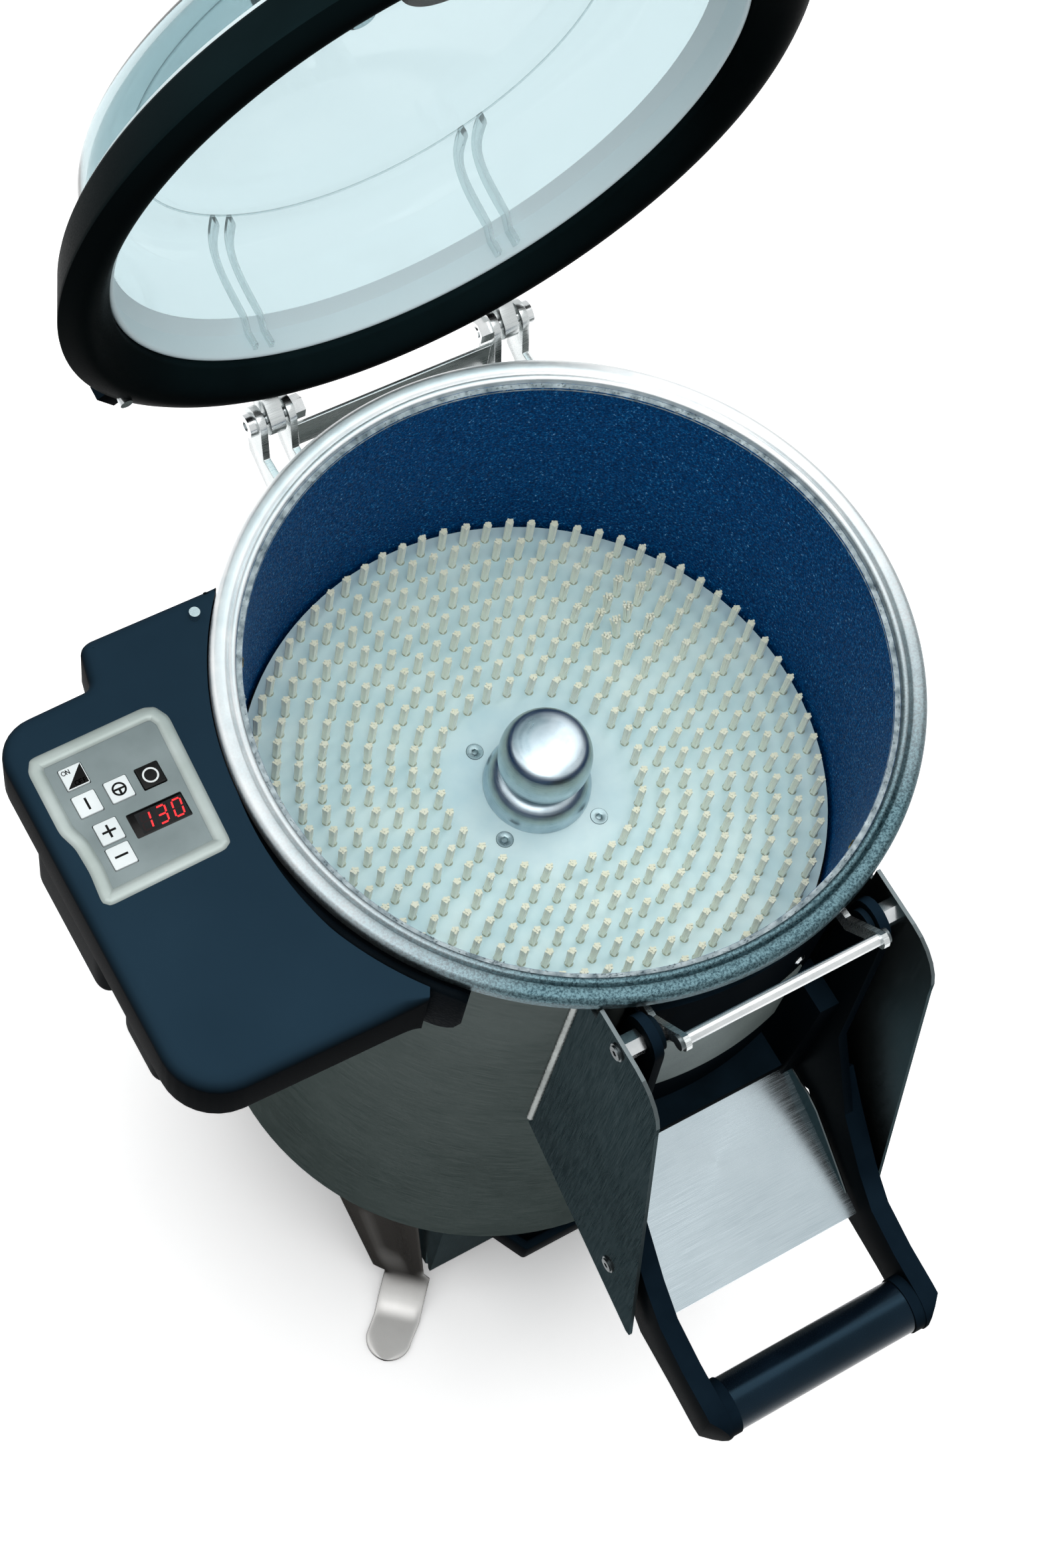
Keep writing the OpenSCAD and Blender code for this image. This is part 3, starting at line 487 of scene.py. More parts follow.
class Finishes:
    """Every finish on the machine, built once and found by key."""

    PLAN: dict[str, Metal | Moulded | PaintedLightWornRim | Paper | Abrasive | Clear | Glow] = {
        # Drum wall: cold-rolled stainless sheet ground around the drum, soft dark sheen with level streaks.
        "drum": Metal("stainless_sheet_ground_around", "#5b605f", "#686d6c", 0.38, Grain.AROUND, 0.4, 0.006,
                      anisotropy=0.3, cloud_mm=90.0, edge="#777b7b"),
        # Cheeks: stainless sheet ground along its height, darker where it meets the eye at a slant.
        "cheek": Metal("stainless_sheet_ground_lengthwise", "#50585a", "#5d6567", 0.36, Grain.ALONG_Z, 0.35,
                       0.005, anisotropy=0.3, cloud_mm=80.0, edge="#73797a"),
        # Chute floor: stainless sheet with fine cross grinding, the brightest sheet with visible scratches.
        "chute": Metal("stainless_sheet_ground_crosswise", "#b3c1c8", "#c8d5db", 0.24, Grain.ALONG_X, 0.4,
                       0.012, anisotropy=0.4, cloud_mm=60.0),
        # Weld beads: stainless filler ground back, a dull rippled line.
        "weld": Metal("stainless_weld_ground_back", "#7d8381", "#a0a5a3", 0.42, Grain.NONE, 0.6, 0.03),
        # Rolled rim: satin stainless, white behind as painted light and pitted grey in front as painted shade
        # and wear.
        "rim": PaintedLightWornRim("stainless_rim_rolled_worn_painted_light", ("#e9eef0", "#fafbfb"), ("#2a3d44", "#607b82"), 0.42),
        # Legs and hinge strips: pressed and laser-cut stainless, matt and pale on top, the legs' upright sides
        # darkened by painted shade.
        "leg": Metal("stainless_leg_pressed_satin_painted_shade_sides", "#cccbc9", "#dbdad8", 0.46, Grain.NONE, 0.5, 0.008,
                     cloud_mm=60.0, side="#454443", edge="#939290"),
        "strip": Metal("stainless_strip_laser_cut", "#b4bbbc", "#d9dddd", 0.28, Grain.ALONG_X, 0.4, 0.006,
                       anisotropy=0.2),
        # Pins and rods: turned steel with a bright line of light; screws: duller stainless.
        "bright": Metal("steel_turned_bright", "#c3c8ca", "#eef0f0", 0.2, Grain.NONE, 0.3, 0.004),
        "screw": Metal("stainless_screw_headed_dull", "#4d5456", "#737a7c", 0.32, Grain.NONE, 0.3, 0.006),
        "socket": Metal("stainless_screw_countersunk", "#6f8387", "#93a5a9", 0.3, Grain.NONE, 0.3, 0.006),
        # Liner rivets: headed brass, warm dots in the blue.
        "brass": Metal("brass_rivet_headed", "#a07a32", "#d2ae5c", 0.28),
        # Hub knob: cast zinc alloy, tumbled satin, with soft broad highlights.
        "zinc": Metal("zinc_alloy_cast_tumbled", "#9db1bb", "#c5d2d9", 0.33, Grain.AROUND, 0.6, 0.012,
                      cloud_mm=7.0),
        # Motor shell: cast iron under paint, with a coarse skin.
        "motor": Moulded("iron_cast_painted", "#24292d", "#3a4146", 0.5, 1.2, 0.1),
        # Covers, arms and small black parts: moulded plastics with a satin skin, blue-black on top, their
        # upright and hanging faces near black as painted shade.
        "housing": Moulded("abs_cover_moulded_satin_painted_shade_sides", "#1c2e3b", "#223644", 0.4, 0.35, 0.006, 0.0015,
                           cloud_mm=150.0, side="#04070a", gloss_tint="#8fb4d0"),
        # The belly is the cover's plastic, coloured all over in the cover's painted-shade side colour.
        "belly": Moulded("abs_cover_moulded_painted_shade", "#04070a", "#070b0f", 0.45, 0.35, 0.008, 0.003),
        "black": Moulded("polyamide_moulded_black_painted_shade_sides", "#0e181f", "#14212b", 0.45, 0.5, 0.015, 0.003,
                         side="#04070a", gloss_tint="#8fb4d0"),
        "arm": Moulded("polyamide_arm_moulded_painted_shade_sides", "#0e1a24", "#14222d", 0.4, 0.5, 0.01, 0.003,
                       side="#04080b", gloss_tint="#8fb4d0"),
        "grip": Moulded("polyamide_grip_turned_painted_shade_sides", "#060d15", "#0a141e", 0.22, 0.5, 0.01, 0.4,
                        side="#04080b", gloss_tint="#7fb0d0"),
        # Lid ring and edge trim: extruded rubber, dull with a faint sheen, the ring's upright and hanging faces
        # darker as painted shade; the trim is knurled.
        "rubber": Moulded("rubber_seal_extruded_painted_shade_sides", "#0c1719", "#122023", 0.42, 0.8, 0.01, 0.003,
                          cloud_mm=60.0, side="#05090a", gloss_tint="#a9c4c8"),
        "trim": Moulded("rubber_edge_knurled", "#05090c", "#0a1015", 0.5, 1.4, 0.3, 0.01, knurl_mm=1.7),
        # Key panel: painted bezel with metal flake, printed film and keys, smoked window.
        "bezel": Moulded("abs_bezel_silver_painted", "#949f9b", "#a7b1af", 0.46, 0.25, 0.006, metallic=0.5),
        "membrane": Moulded("polyester_film_printed_silver", "#687475", "#7a8687", 0.48, 0.22, 0.01,
                            metallic=0.5),
        "white_key": Moulded("polyester_key_printed_white", "#d6dfe0", "#e4ebec", 0.45, 0.4, 0.006, 0.3),
        "black_key": Moulded("polyester_key_printed_black", "#030404", "#070808", 0.4, 0.4, 0.006, 0.15),
        "window": Moulded("acrylic_filter_smoked", "#020202", "#050505", 0.14, 1.0, 0.003, 0.15),
        "cell": Moulded("led_module_face_grey", "#17191a", "#202224", 0.5, 0.5, 0.006, 0.1),
        "lit": Glow("led_segment_red_lit", "#ff1018", 1.3),
        "unlit": Moulded("led_segment_unlit", "#24181a", "#2e1e20", 0.5, 0.5, 0.006, 0.1),
        # Control board: etched epoxy, a dull green.
        "board": Moulded("epoxy_board_etched", "#174a2f", "#24633f", 0.45),
        # Liner: blue abrasive grain bonded to a sheet, with pale specks in its colour that are partly grain and
        # partly painted sparkle, its cut edge frayed. The grain is drawn somewhat coarser than the real grit,
        # which is too fine to show.
        "liner": Abrasive("abrasive_sheet_blue_grain_painted_sparkle",
                          ((0.28, "#001830"), (0.45, "#003a6d"), (0.58, "#00508d"), (0.66, "#1a82bf"),
                           (0.73, "#bfe5f6")), 1.4),
        "fray": Moulded("abrasive_backing_frayed", "#5f7078", "#b9c6ca", 0.8, 0.6, 0.1, cloud_mm=5.0),
        # Brush plate: turned polyethylene, milky and waxy, with drilled holes drawn as discs darkened by
        # painted shade; bristles: cut nylon with a fibre sheen, their upright sides painted paler as painted
        # light.
        "plate": Moulded("polyethylene_plate_turned", "#c1dfe5", "#d7eef0", 0.34, 2.5, 0.02, 0.4,
                         subsurface=0.15),
        # Hole discs: darker than the plate as painted shade in the drilled holes.
        "hole": Moulded("polyethylene_hole_painted_shade", "#96a08f", "#aeb8a8", 0.6, 0.6, 0.02, 0.2),
        "bristle": Moulded("nylon_bristle_cut_painted_light_sides", "#e9ecd2", "#f2f5e0", 0.5, 0.3, 0.006, 0.2, sheen=0.9,
                           cloud_mm=12.0, side="#fcfff0"),
        # Lid dome: blown polycarbonate, clear with a cool tint, its foot and ribs hazed by the mould.
        "dome": Clear("polycarbonate_dome_clear", "#b4c7cb", 0.02, 1.0, 1.2),
        "rib": Clear("polycarbonate_rib_clear", "#f2fafb", 0.05, 0.8, 1.12),
        "haze": Clear("polycarbonate_foot_hazed", "#e6f6fa", 0.3, 0.12, 1.2),
        # Blank plate on the door: white vinyl, coloured grey as painted shade under the rim; printed signs:
        # flat screen ink.
        "label": Moulded("vinyl_plate_white_painted_shade", "#76817f", "#879290", 0.4, 1.0, 0.008, 0.2),
        "ink": Moulded("screen_ink_black", "#030404", "#060707", 0.5, 0.3, 0.004, 0.1),
        "white_ink": Moulded("screen_ink_white", "#d0d6d6", "#dde2e2", 0.5, 0.3, 0.004),
        # Floor: seamless studio paper, not part of the object.
        "floor": Paper("studio_paper_white", "#e6e8e9", 1.6),
    }

    def __init__(self) -> None:
        """Starts with nothing built."""
        self._made: dict[str, bpy.types.Material] = {}

    def __getitem__(self, key: str) -> bpy.types.Material:
        """Finds a finish, building it at first use.

        Args:
            key: Finish key.

        Returns:
            The material.
        """
        if key not in self._made:
            self._made[key] = self.PLAN[key].build()
        return self._made[key]


FINISH = Finishes()


@dataclass(frozen=True)
class Place:
    """The drum axis and rim height in the shared frame, in millimetres."""

    x: float
    y: float
    rim: float

    @classmethod
    def from_frame(cls) -> Place:
        """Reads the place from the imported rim.

        Returns:
            The place.
        """
        low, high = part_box("drum_rim")
        return cls((low[0] + high[0]) / 2 / MM, (low[1] + high[1]) / 2 / MM, high[2] / MM)

    def matrix(self) -> Matrix:
        """Gives the move from drum millimetres, with the rim at zero height, to frame metres.

        Returns:
            The transform.
        """
        return Matrix.Translation((self.x * MM, self.y * MM, self.rim * MM)) @ Matrix.Scale(MM, 4)


PLACE = Place.from_frame()


def make_piece(name: str, verts: Sequence[Sequence[float]], faces: Faces, body: str, finish: str,
               slot: str, shade: Shade = Shade.CRISP, move: Matrix | None = None,
               stands_for: Sequence[str] = ()) -> bpy.types.Object:
    """Makes a visual piece from points in drum millimetres with the rim at zero height.

    Args:
        name: Piece name.
        verts: Points.
        faces: Faces as indices of points.
        body: Body that the piece rides on.
        finish: Finish key.
        slot: Material slot of the record; not used.
        shade: Edge shading.
        move: Extra move in drum millimetres, applied first.
        stands_for: CAD nodes that the piece replaces.

    Returns:
        The new object.
    """
    mesh = bpy.data.meshes.new(name)
    mesh.from_pydata([tuple(v) for v in verts], [], faces)
    work = bmesh.new()
    work.from_mesh(mesh)
    bmesh.ops.remove_doubles(work, verts=work.verts, dist=0.002)
    bmesh.ops.recalc_face_normals(work, faces=work.faces)
    work.to_mesh(mesh)
    work.free()
    mesh.transform(PLACE.matrix() @ (move or Matrix.Identity(4)))
    return finish_piece(name, mesh, body, finish, shade, stands_for)


def finish_piece(name: str, mesh: bpy.types.Mesh, body: str, finish: str, shade: Shade,
                 stands_for: Sequence[str]) -> bpy.types.Object:
    """Turns a finished mesh in frame metres into a riding piece.

    Args:
        name: Piece name.
        mesh: Mesh in frame metres.
        body: Body that the piece rides on.
        finish: Finish key.
        shade: Edge shading.
        stands_for: CAD nodes that the piece replaces.

    Returns:
        The new object.
    """
    mesh.shade_smooth()
    if shade is not Shade.SMOOTH:
        mesh.set_sharp_from_angle(angle=math.radians(shade.value))
    mesh.materials.clear()
    mesh.materials.append(FINISH[finish])
    piece = bpy.data.objects.new(name, mesh)
    bpy.context.scene.collection.objects.link(piece)
    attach(piece, body)
    if stands_for:
        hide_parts(*stands_for)
    LOG.info("%s rides on %s", name, body)
    return piece


def soften(node: str, width_mm: float, body: str, finish: str,
           segments: int = 2) -> bpy.types.Object:
    """Makes a copy of a CAD node with broken edges, which stands for it.

    Args:
        node: CAD node.
        width_mm: Width of the edge rounding.
        body: Body that the piece rides on.
        finish: Finish key.
        segments: Steps in each rounding.

    Returns:
        The new object.
    """
    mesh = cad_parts[node].data.copy()
    work = bmesh.new()
    work.from_mesh(mesh)
    bmesh.ops.remove_doubles(work, verts=work.verts, dist=0.00002)
    bmesh.ops.dissolve_limit(work, angle_limit=math.radians(0.6), verts=work.verts, edges=work.edges)
    sharp = [e for e in work.edges if len(e.link_faces) == 2 and e.calc_face_angle(0.0) > math.radians(38)]
    bmesh.ops.bevel(work, geom=sharp, offset=width_mm * MM, segments=segments, profile=0.5, affect="EDGES",
                    clamp_overlap=True)
    bmesh.ops.triangulate(work, faces=[f for f in work.faces if len(f.verts) > 4])
    work.to_mesh(mesh)
    work.free()
    return finish_piece(f"{node}_softened", mesh, body, finish, Shade.CRISP, (node,))


def lathe(profile: Sequence[Point2], steps: int) -> tuple[list[Point3], Faces]:
    """Turns a closed outline of radius and height around the axis.

    Args:
        profile: Radius and height points of a closed outline.
        steps: Steps around the axis.

    Returns:
        Points and faces.
    """
    count = len(profile)
    verts = [(r * math.cos(2 * math.pi * k / steps), r * math.sin(2 * math.pi * k / steps), h)
             for k in range(steps) for r, h in profile]
    faces: Faces = []
    for k in range(steps):
        a, b = k * count, (k + 1) % steps * count
        for i in range(count):
            j = (i + 1) % count
            faces.append((a + i, b + i, b + j, a + j))
    return verts, faces


def arc(centre: Point2, radius: float, start: float, end: float, steps: int) -> list[Point2]:
    """Lists points on an arc.

    Args:
        centre: Middle of the arc.
        radius: Radius.
        start: First angle in degrees.
        end: Last angle in degrees.
        steps: Steps along the arc.

    Returns:
        The points.
    """
    angles = [math.radians(start + (end - start) * k / steps) for k in range(steps + 1)]
    return [(centre[0] + radius * math.cos(a), centre[1] + radius * math.sin(a)) for a in angles]


def rounded(points: Sequence[Point2], reach: float | Sequence[float], rounds: int = 3) -> list[Point2]:
    """Rounds the corners of a closed outline.

    Args:
        points: Corners in order.
        reach: How far along its sides a corner is rounded, for all corners or for each.
        rounds: Rounds of corner cutting.

    Returns:
        The rounded outline.
    """
    reaches = [reach] * len(points) if isinstance(reach, float) else list(reach)
    dense: list[Point2] = []
    for i, (x, y) in enumerate(points):
        for other in (points[i - 1], None, points[(i + 1) % len(points)]):
            if other is None:
                dense.append((x, y))
                continue
            gap = math.hypot(other[0] - x, other[1] - y)
            part = min(reaches[i], gap * 0.45) / gap
            dense.append((x + (other[0] - x) * part, y + (other[1] - y) * part))
    for _ in range(rounds):
        cut: list[Point2] = []
        for (x0, y0), (x1, y1) in zip(dense, dense[1:] + dense[:1]):
            cut.append((0.75 * x0 + 0.25 * x1, 0.75 * y0 + 0.25 * y1))
            cut.append((0.25 * x0 + 0.75 * x1, 0.25 * y0 + 0.75 * y1))
        dense = cut
    tidy = [dense[0]]
    for point in dense[1:]:
        if math.hypot(point[0] - tidy[-1][0], point[1] - tidy[-1][1]) > 0.02:
            tidy.append(point)
    return tidy


def area(points: Sequence[Point2]) -> float:
    """Gives the signed area of an outline.

    Args:
        points: Outline.

    Returns:
        Area, positive when it runs anticlockwise.
    """
    return 0.5 * sum(x0 * y1 - x1 * y0 for (x0, y0), (x1, y1) in zip(points, [*points[1:], points[0]]))


def inset(points: Sequence[Point2], distance: float) -> list[Point2]:
    """Moves every point of an outline inwards.

    Args:
        points: Outline.
        distance: Distance to move.

    Returns:
        The moved outline.
    """
    turn = 1.0 if area(points) > 0 else -1.0
    moved: list[Point2] = []
    for i, (x, y) in enumerate(points):
        (x0, y0), (x1, y1) = points[i - 1], points[(i + 1) % len(points)]
        ux, uy = x1 - x0, y1 - y0
        size = math.hypot(ux, uy) or 1.0
        moved.append((x - turn * uy / size * distance, y + turn * ux / size * distance))
    return moved


def stack(loops: Sequence[Sequence[Point3]], closed: bool = False,
          cap_last: bool = True) -> tuple[list[Point3], Faces]:
    """Skins loops of equal length.

    Args:
        loops: Loops in order.
        closed: Whether the last loop joins the first.
        cap_last: Whether the last loop gets a face, as the first one does, where they don't join.

    Returns:
        Points and faces.
    """
    count = len(loops[0])
    verts = [p for loop in loops for p in loop]
    faces: Faces = []
    pairs = len(loops) if closed else len(loops) - 1
    for k in range(pairs):
        a, b = k * count, (k + 1) % len(loops) * count
        for i in range(count):
            j = (i + 1) % count
            faces.append((a + i, a + j, b + j, b + i))
    if not closed:
        faces.append(tuple(reversed(range(count))))
    if not closed and cap_last:
        faces.append(tuple(range((len(loops) - 1) * count, len(loops) * count)))
    return verts, faces


def pillow(outline: Sequence[Point2], low: float, high: float, low_edge: float, high_edge: float,
           steps: int = 5, weights: Sequence[float] | None = None) -> list[list[Point3]]:
    """Lists the loops of a slab with rounded lower and upper edges.

    Args:
        outline: Plan outline.
        low: Lower height.
        high: Upper height.
        low_edge: Radius of the lower edge.
        high_edge: Radius of the upper edge.
        steps: Steps of each rounding.
        weights: Share of the rounding that each point takes part in, all of it if left out.

    Returns:
        The loops from the lower end to the upper one.
    """
    loops = []
    shares = weights or [1.0] * len(outline)
    for edge, end, sign in ((low_edge, low, -1.0), (high_edge, high, 1.0)):
        part = []
        for k in range(steps + 1 if edge else 1):
            angle = math.radians(90 * k / steps) if edge else 0.0
            z = end - sign * edge + sign * edge * math.sin(angle)
            moved = inset(outline, edge * (1 - math.cos(angle)))
            part.append([(x + w * (u - x), y + w * (v - y), z)
                         for (x, y), (u, v), w in zip(outline, moved, shares)])
        loops += list(reversed(part)) if sign < 0 else part
    return loops


def rectangle(centre: Point2, width: float, height: float) -> list[Point2]:
    """Lists the corners of a rectangle.

    Args:
        centre: Middle.
        width: Size along X.
        height: Size along Y.

    Returns:
        Corners, anticlockwise.
    """
    x, y, w, h = centre[0], centre[1], width / 2, height / 2
    return [(x - w, y - h), (x + w, y - h), (x + w, y + h), (x - w, y + h)]


def plates(shapes: Sequence[Sequence[Point2]], low: float, high: float) -> tuple[list[Point3], Faces]:
    """Raises flat shapes into thin plates.

    Args:
        shapes: Convex outlines.
        low: Lower height.
        high: Upper height.

    Returns:
        Points and faces.
    """
    verts: list[Point3] = []
    faces: Faces = []
    for shape in shapes:
        append_skin(verts, faces, stack([[(x, y, z) for x, y in shape] for z in (low, high)]))
    return verts, faces


def stroke(start: Point2, end: Point2, width: float) -> list[Point2]:
    """Gives the outline of a straight stroke.

    Args:
        start: First end.
        end: Second end.
        width: Width of the stroke.

    Returns:
        The four corners.
    """
    ux, uy = end[0] - start[0], end[1] - start[1]
    size = math.hypot(ux, uy)
    nx, ny = -uy / size * width / 2, ux / size * width / 2
    return [(start[0] - nx, start[1] - ny), (end[0] - nx, end[1] - ny),
            (end[0] + nx, end[1] + ny), (start[0] + nx, start[1] + ny)]


def hoop(centre: Point2, radius: float, width: float, steps: int,
         squeeze: float = 1.0) -> list[list[Point2]]:
    """Gives the strokes of a ring.

    Args:
        centre: Middle.
        radius: Radius of the middle line.
        width: Width of the line.
        steps: Strokes around the ring.
        squeeze: Factor along X.

    Returns:
        The strokes' outlines.
    """
    turns = [2 * math.pi * k / steps for k in range(steps + 1)]
    inner, outer = ([(centre[0] + r * squeeze * math.cos(a), centre[1] + r * math.sin(a)) for a in turns]
                    for r in (radius - width / 2, radius + width / 2))
    return [[inner[k], outer[k], outer[k + 1], inner[k + 1]] for k in range(steps)]


def side_name(side: int) -> str:
    """Names a side.

    Args:
        side: -1 for left, 1 for right.

    Returns:
        The side's name.
    """
    return "left" if side < 0 else "right"


def append_skin(verts: list[Point3], faces: Faces, skin: tuple[list[Point3], Faces]) -> None:
    """Adds one closed skin to a mesh of several.

    Args:
        verts: Points to add to.
        faces: Faces to add to.
        skin: Points and faces of the skin.
    """
    points, sides = skin
    faces.extend(tuple(i + len(verts) for i in f) for f in sides)
    verts.extend(points)


@dataclass
class Drum:
    """Drum: rolled rim, frayed liner edge and weld beads of the chute cheeks."""

    rim_radius: float = 170.0
    rim_section: float = 10.0
    rim_low_round: float = 3.0
    rim_top_round: float = 3.4
    inner: float = 157.5
    # Flat crown of the rim with its pressed groove: distance from the inner face, and height.
    crown: tuple[Point2, ...] = (
        (7.4, -0.03), (5.3, -0.1), (4.7, -0.4), (4.3, -1.1), (3.9, -1.4), (3.5, -1.1), (3.1, -0.5), (2.5, -0.2),
        (1.2, -0.25), (0.4, -0.6), (0.0, -1.3))
    liner_inner: float = 154.5
    liner_top: float = -4.0
    fray_count: int = 620
    cheek_half: float = 76.0
    drum_radius: float = 159.0
    weld_top: float = -18.0
    weld_low: float = -190.0
    weld_size: float = 2.0

    def build(self) -> None:
        """Builds the drum's visual pieces."""
        rim, out, low = self.inner, self.rim_radius, -self.rim_section
        under, over = self.rim_low_round, self.rim_top_round
        profile = [(rim, low), (out - under - 1.0, low), *arc((out - under, low + under), under, -90, 0, 6),
                   *arc((out - over, -over - 0.05), over, 0, 84, 8)]
        profile += [(rim + across, z) for across, z in self.crown]
        verts, faces = lathe(profile, 240)
        make_piece("drum_rim_rolled", verts, faces, "machine", "rim", "rim_metal", Shade.SOFT,
                   stands_for=("drum_rim",))
        self.build_fray()
        for side in (-1, 1):
            self.build_weld(side)

    def build_fray(self) -> None:
        """Builds loose fibres along the liner's cut edge."""
        rng = random.Random(7)
        edge = self.liner_top
        verts, faces = lathe([(self.liner_inner - 0.15, edge - 1.6), (self.liner_inner + 0.1, edge + 0.1),
                              (self.inner - 0.2, edge + 0.1), (self.inner - 0.1, edge - 1.6)], 240)
        for _ in range(self.fray_count):
            angle = rng.uniform(0, 2 * math.pi)
            spread = rng.uniform(0.003, 0.009)
            radius = rng.uniform(self.liner_inner - 0.1, self.inner - 0.4)
            top, root = edge + rng.uniform(0.3, 1.5), edge - 0.4
            base = len(verts)
            for da, r, z in ((-spread, radius, root), (spread, radius, root),
                             (rng.uniform(-spread, spread), radius + rng.uniform(-0.7, 0.7), top),
                             (0.0, radius + 0.5, root)):
                verts.append((r * math.cos(angle + da), r * math.sin(angle + da), z))
            faces += [(base, base + 1, base + 2), (base + 1, base + 3, base + 2), (base + 3, base, base + 2),
                      (base, base + 3, base + 1)]
        make_piece("liner_frayed_edge", verts, faces, "machine", "fray", "abrasive_blue", Shade.CRISP)

    def build_weld(self, side: int) -> None:
        """Builds the bead that joins a cheek to the drum wall.

        Args:
            side: -1 for the left cheek, 1 for the right one.
        """
        rng = random.Random(3)
        y = -math.sqrt(self.drum_radius ** 2 - self.cheek_half ** 2)
        loops = []
        steps = 90
        turns = [2 * math.pi * i / 8 for i in range(8)]
        for k in range(steps + 1):
            z = self.weld_top + (self.weld_low - self.weld_top) * k / steps
            size = self.weld_size + 0.25 * math.sin(k * 2.4) + rng.uniform(-0.1, 0.1)
            loops.append([(side * (self.cheek_half + 0.3) + side * size * math.cos(a),
                           y - 0.3 + size * math.sin(a), z) for a in turns])
        verts, faces = stack(loops)
        make_piece(f"weld_bead_{side_name(side)}", verts, faces, "machine", "weld", "stainless_dark",
                   Shade.SMOOTH)


@dataclass
class Brush:
    """Brush plate: bundles of bristles in staggered rings and the hub knob."""

    plate_top: float = -134.0
    rings: int = 9
    first: int = 28
    step: int = 6
    inner: float = 53.0
    pitch: float = 11.5
    height: float = 17.0
    bundle: float = 1.55
    bristles: int = 10
    bristle_radius: float = 0.72
    bristle_sides: int = 5
    hole_radius: float = 2.3
    worn_at: Point2 = (88.0, 62.0)
    worn_reach: float = 42.0
    knob_foot: float = 28.0
    knob_height: float = 51.0
    screw_circle: float = 36.0
    screw_turn: float = 123.0
    screw_head: float = 4.6
    screw_shank: float = 2.5
    screw_socket: float = 1.75

    def build(self) -> None:
        """Builds the brush's visual pieces."""
        self.build_tufts()
        self.build_knob()
        self.build_screws()

    def build_tufts(self) -> None:
        """Builds every tuft as a bundle of cut bristles, leaning a little as worn ones do."""
        rng = random.Random(11)
        verts: list[Point3] = []
        faces: Faces = []
        feet: list[list[Point2]] = []
        for ring in range(self.rings):
            count = self.first + self.step * ring
            for i in range(count):
                angle = (i + 0.5 * (ring % 2)) * 2 * math.pi / count
                radius = self.inner + self.pitch * ring
                x, y = radius * math.cos(angle), radius * math.sin(angle)
                away = math.hypot(x - self.worn_at[0], y - self.worn_at[1])
                worn = max(0.0, 1 - away / self.worn_reach)
                lean = (rng.uniform(-0.5, 0.5) + 3.0 * worn * rng.uniform(-1, 0.4),
                        rng.uniform(-0.5, 0.5) + 3.0 * worn * rng.uniform(-0.6, 1))
                feet.append(arc((x, y), self.hole_radius, 0, 330, 11))
                for b in range(self.bristles):
                    self.add_bristle(verts, faces, rng, (x, y), lean, b, worn)
        make_piece("brush_bristles", verts, faces, "brush", "bristle", "bristle_cream", Shade.SOFT,
                   stands_for=("brush_tufts",))
        # Flat discs darker than the plate stand for the drilled holes at the tuft feet, as painted shade.
        verts, faces = plates(feet, self.plate_top - 0.2, self.plate_top + 0.03)
        make_piece("tuft_holes_painted_shade", verts, faces, "brush", "hole", "plate_white")

    def add_bristle(self, verts: list[Point3], faces: Faces, rng: random.Random, foot: Point2, lean: Point2,
                    index: int, worn: float) -> None:
        """Adds one bristle of a tuft.

        Args:
            verts: Points to add to.
            faces: Faces to add to.
            rng: Seeded random numbers.
            foot: Middle of the tuft.
            lean: Lean of the whole tuft at its top.
            index: Number of the bristle in its tuft.
            worn: How far the tuft is splayed by use, from 0 to 1.
        """
        turn = index * 2.39996  # The golden angle packs the bristles evenly.
        out = self.bundle * math.sqrt((index + 0.5) / self.bristles)
        dx, dy = out * math.cos(turn), out * math.sin(turn)
        flare = 1.0 + rng.uniform(0.02, 0.3) + worn * rng.uniform(0.0, 1.1)
        top = self.height + rng.uniform(-0.5, 0.0)
        base, sides = len(verts), self.bristle_sides
        for level, share in ((0.0, 0.0), (0.55 * top, 0.4), (top, 1.0)):
            cx = foot[0] + dx * (1 + (flare - 1) * share) + lean[0] * share
            cy = foot[1] + dy * (1 + (flare - 1) * share) + lean[1] * share
            for k in range(sides):
                a = turn + 2 * math.pi * k / sides
                verts.append((cx + self.bristle_radius * math.cos(a), cy + self.bristle_radius * math.sin(a),
                              self.plate_top + level))
        for start in (base, base + sides):
            for k in range(sides):
                n = (k + 1) % sides
                faces.append((start + k, start + n, start + sides + n, start + sides + k))
        faces.append(tuple(base + 2 * sides + k for k in range(sides)))

    def build_screws(self) -> None:
        """Builds the countersunk screws around the knob, each with a hexagon socket."""
        verts: list[Point3] = []
        faces: Faces = []
        head, shank, socket = self.screw_head, self.screw_shank, self.screw_socket
        rings = ((shank, -3.0, False), (head, -0.05, False), (head - 0.25, 0.18, False), (shank, 0.18, False),
                 (socket, -0.1, True), (socket, -2.0, True))
        for k in range(4):
            turn = math.radians(self.screw_turn + 90 * k)
            x, y = self.screw_circle * math.cos(turn), self.screw_circle * math.sin(turn)
            loops = []
            for radius, level, six_sided in rings:
                loop = []
                for i in range(24):
                    a = 2 * math.pi * i / 24
                    flat = math.cos(math.pi / 6) / math.cos(a % (math.pi / 3) - math.pi / 6)
                    swell = flat if six_sided else 1.0
                    loop.append((x + radius * swell * math.cos(a), y + radius * swell * math.sin(a),
                                 self.plate_top + level))
                loops.append(loop)
            append_skin(verts, faces, stack(loops))
        make_piece("plate_screws_socketed", verts, faces, "brush", "socket", "steel_bright", Shade.CRISP,
                   stands_for=("plate_screws",))

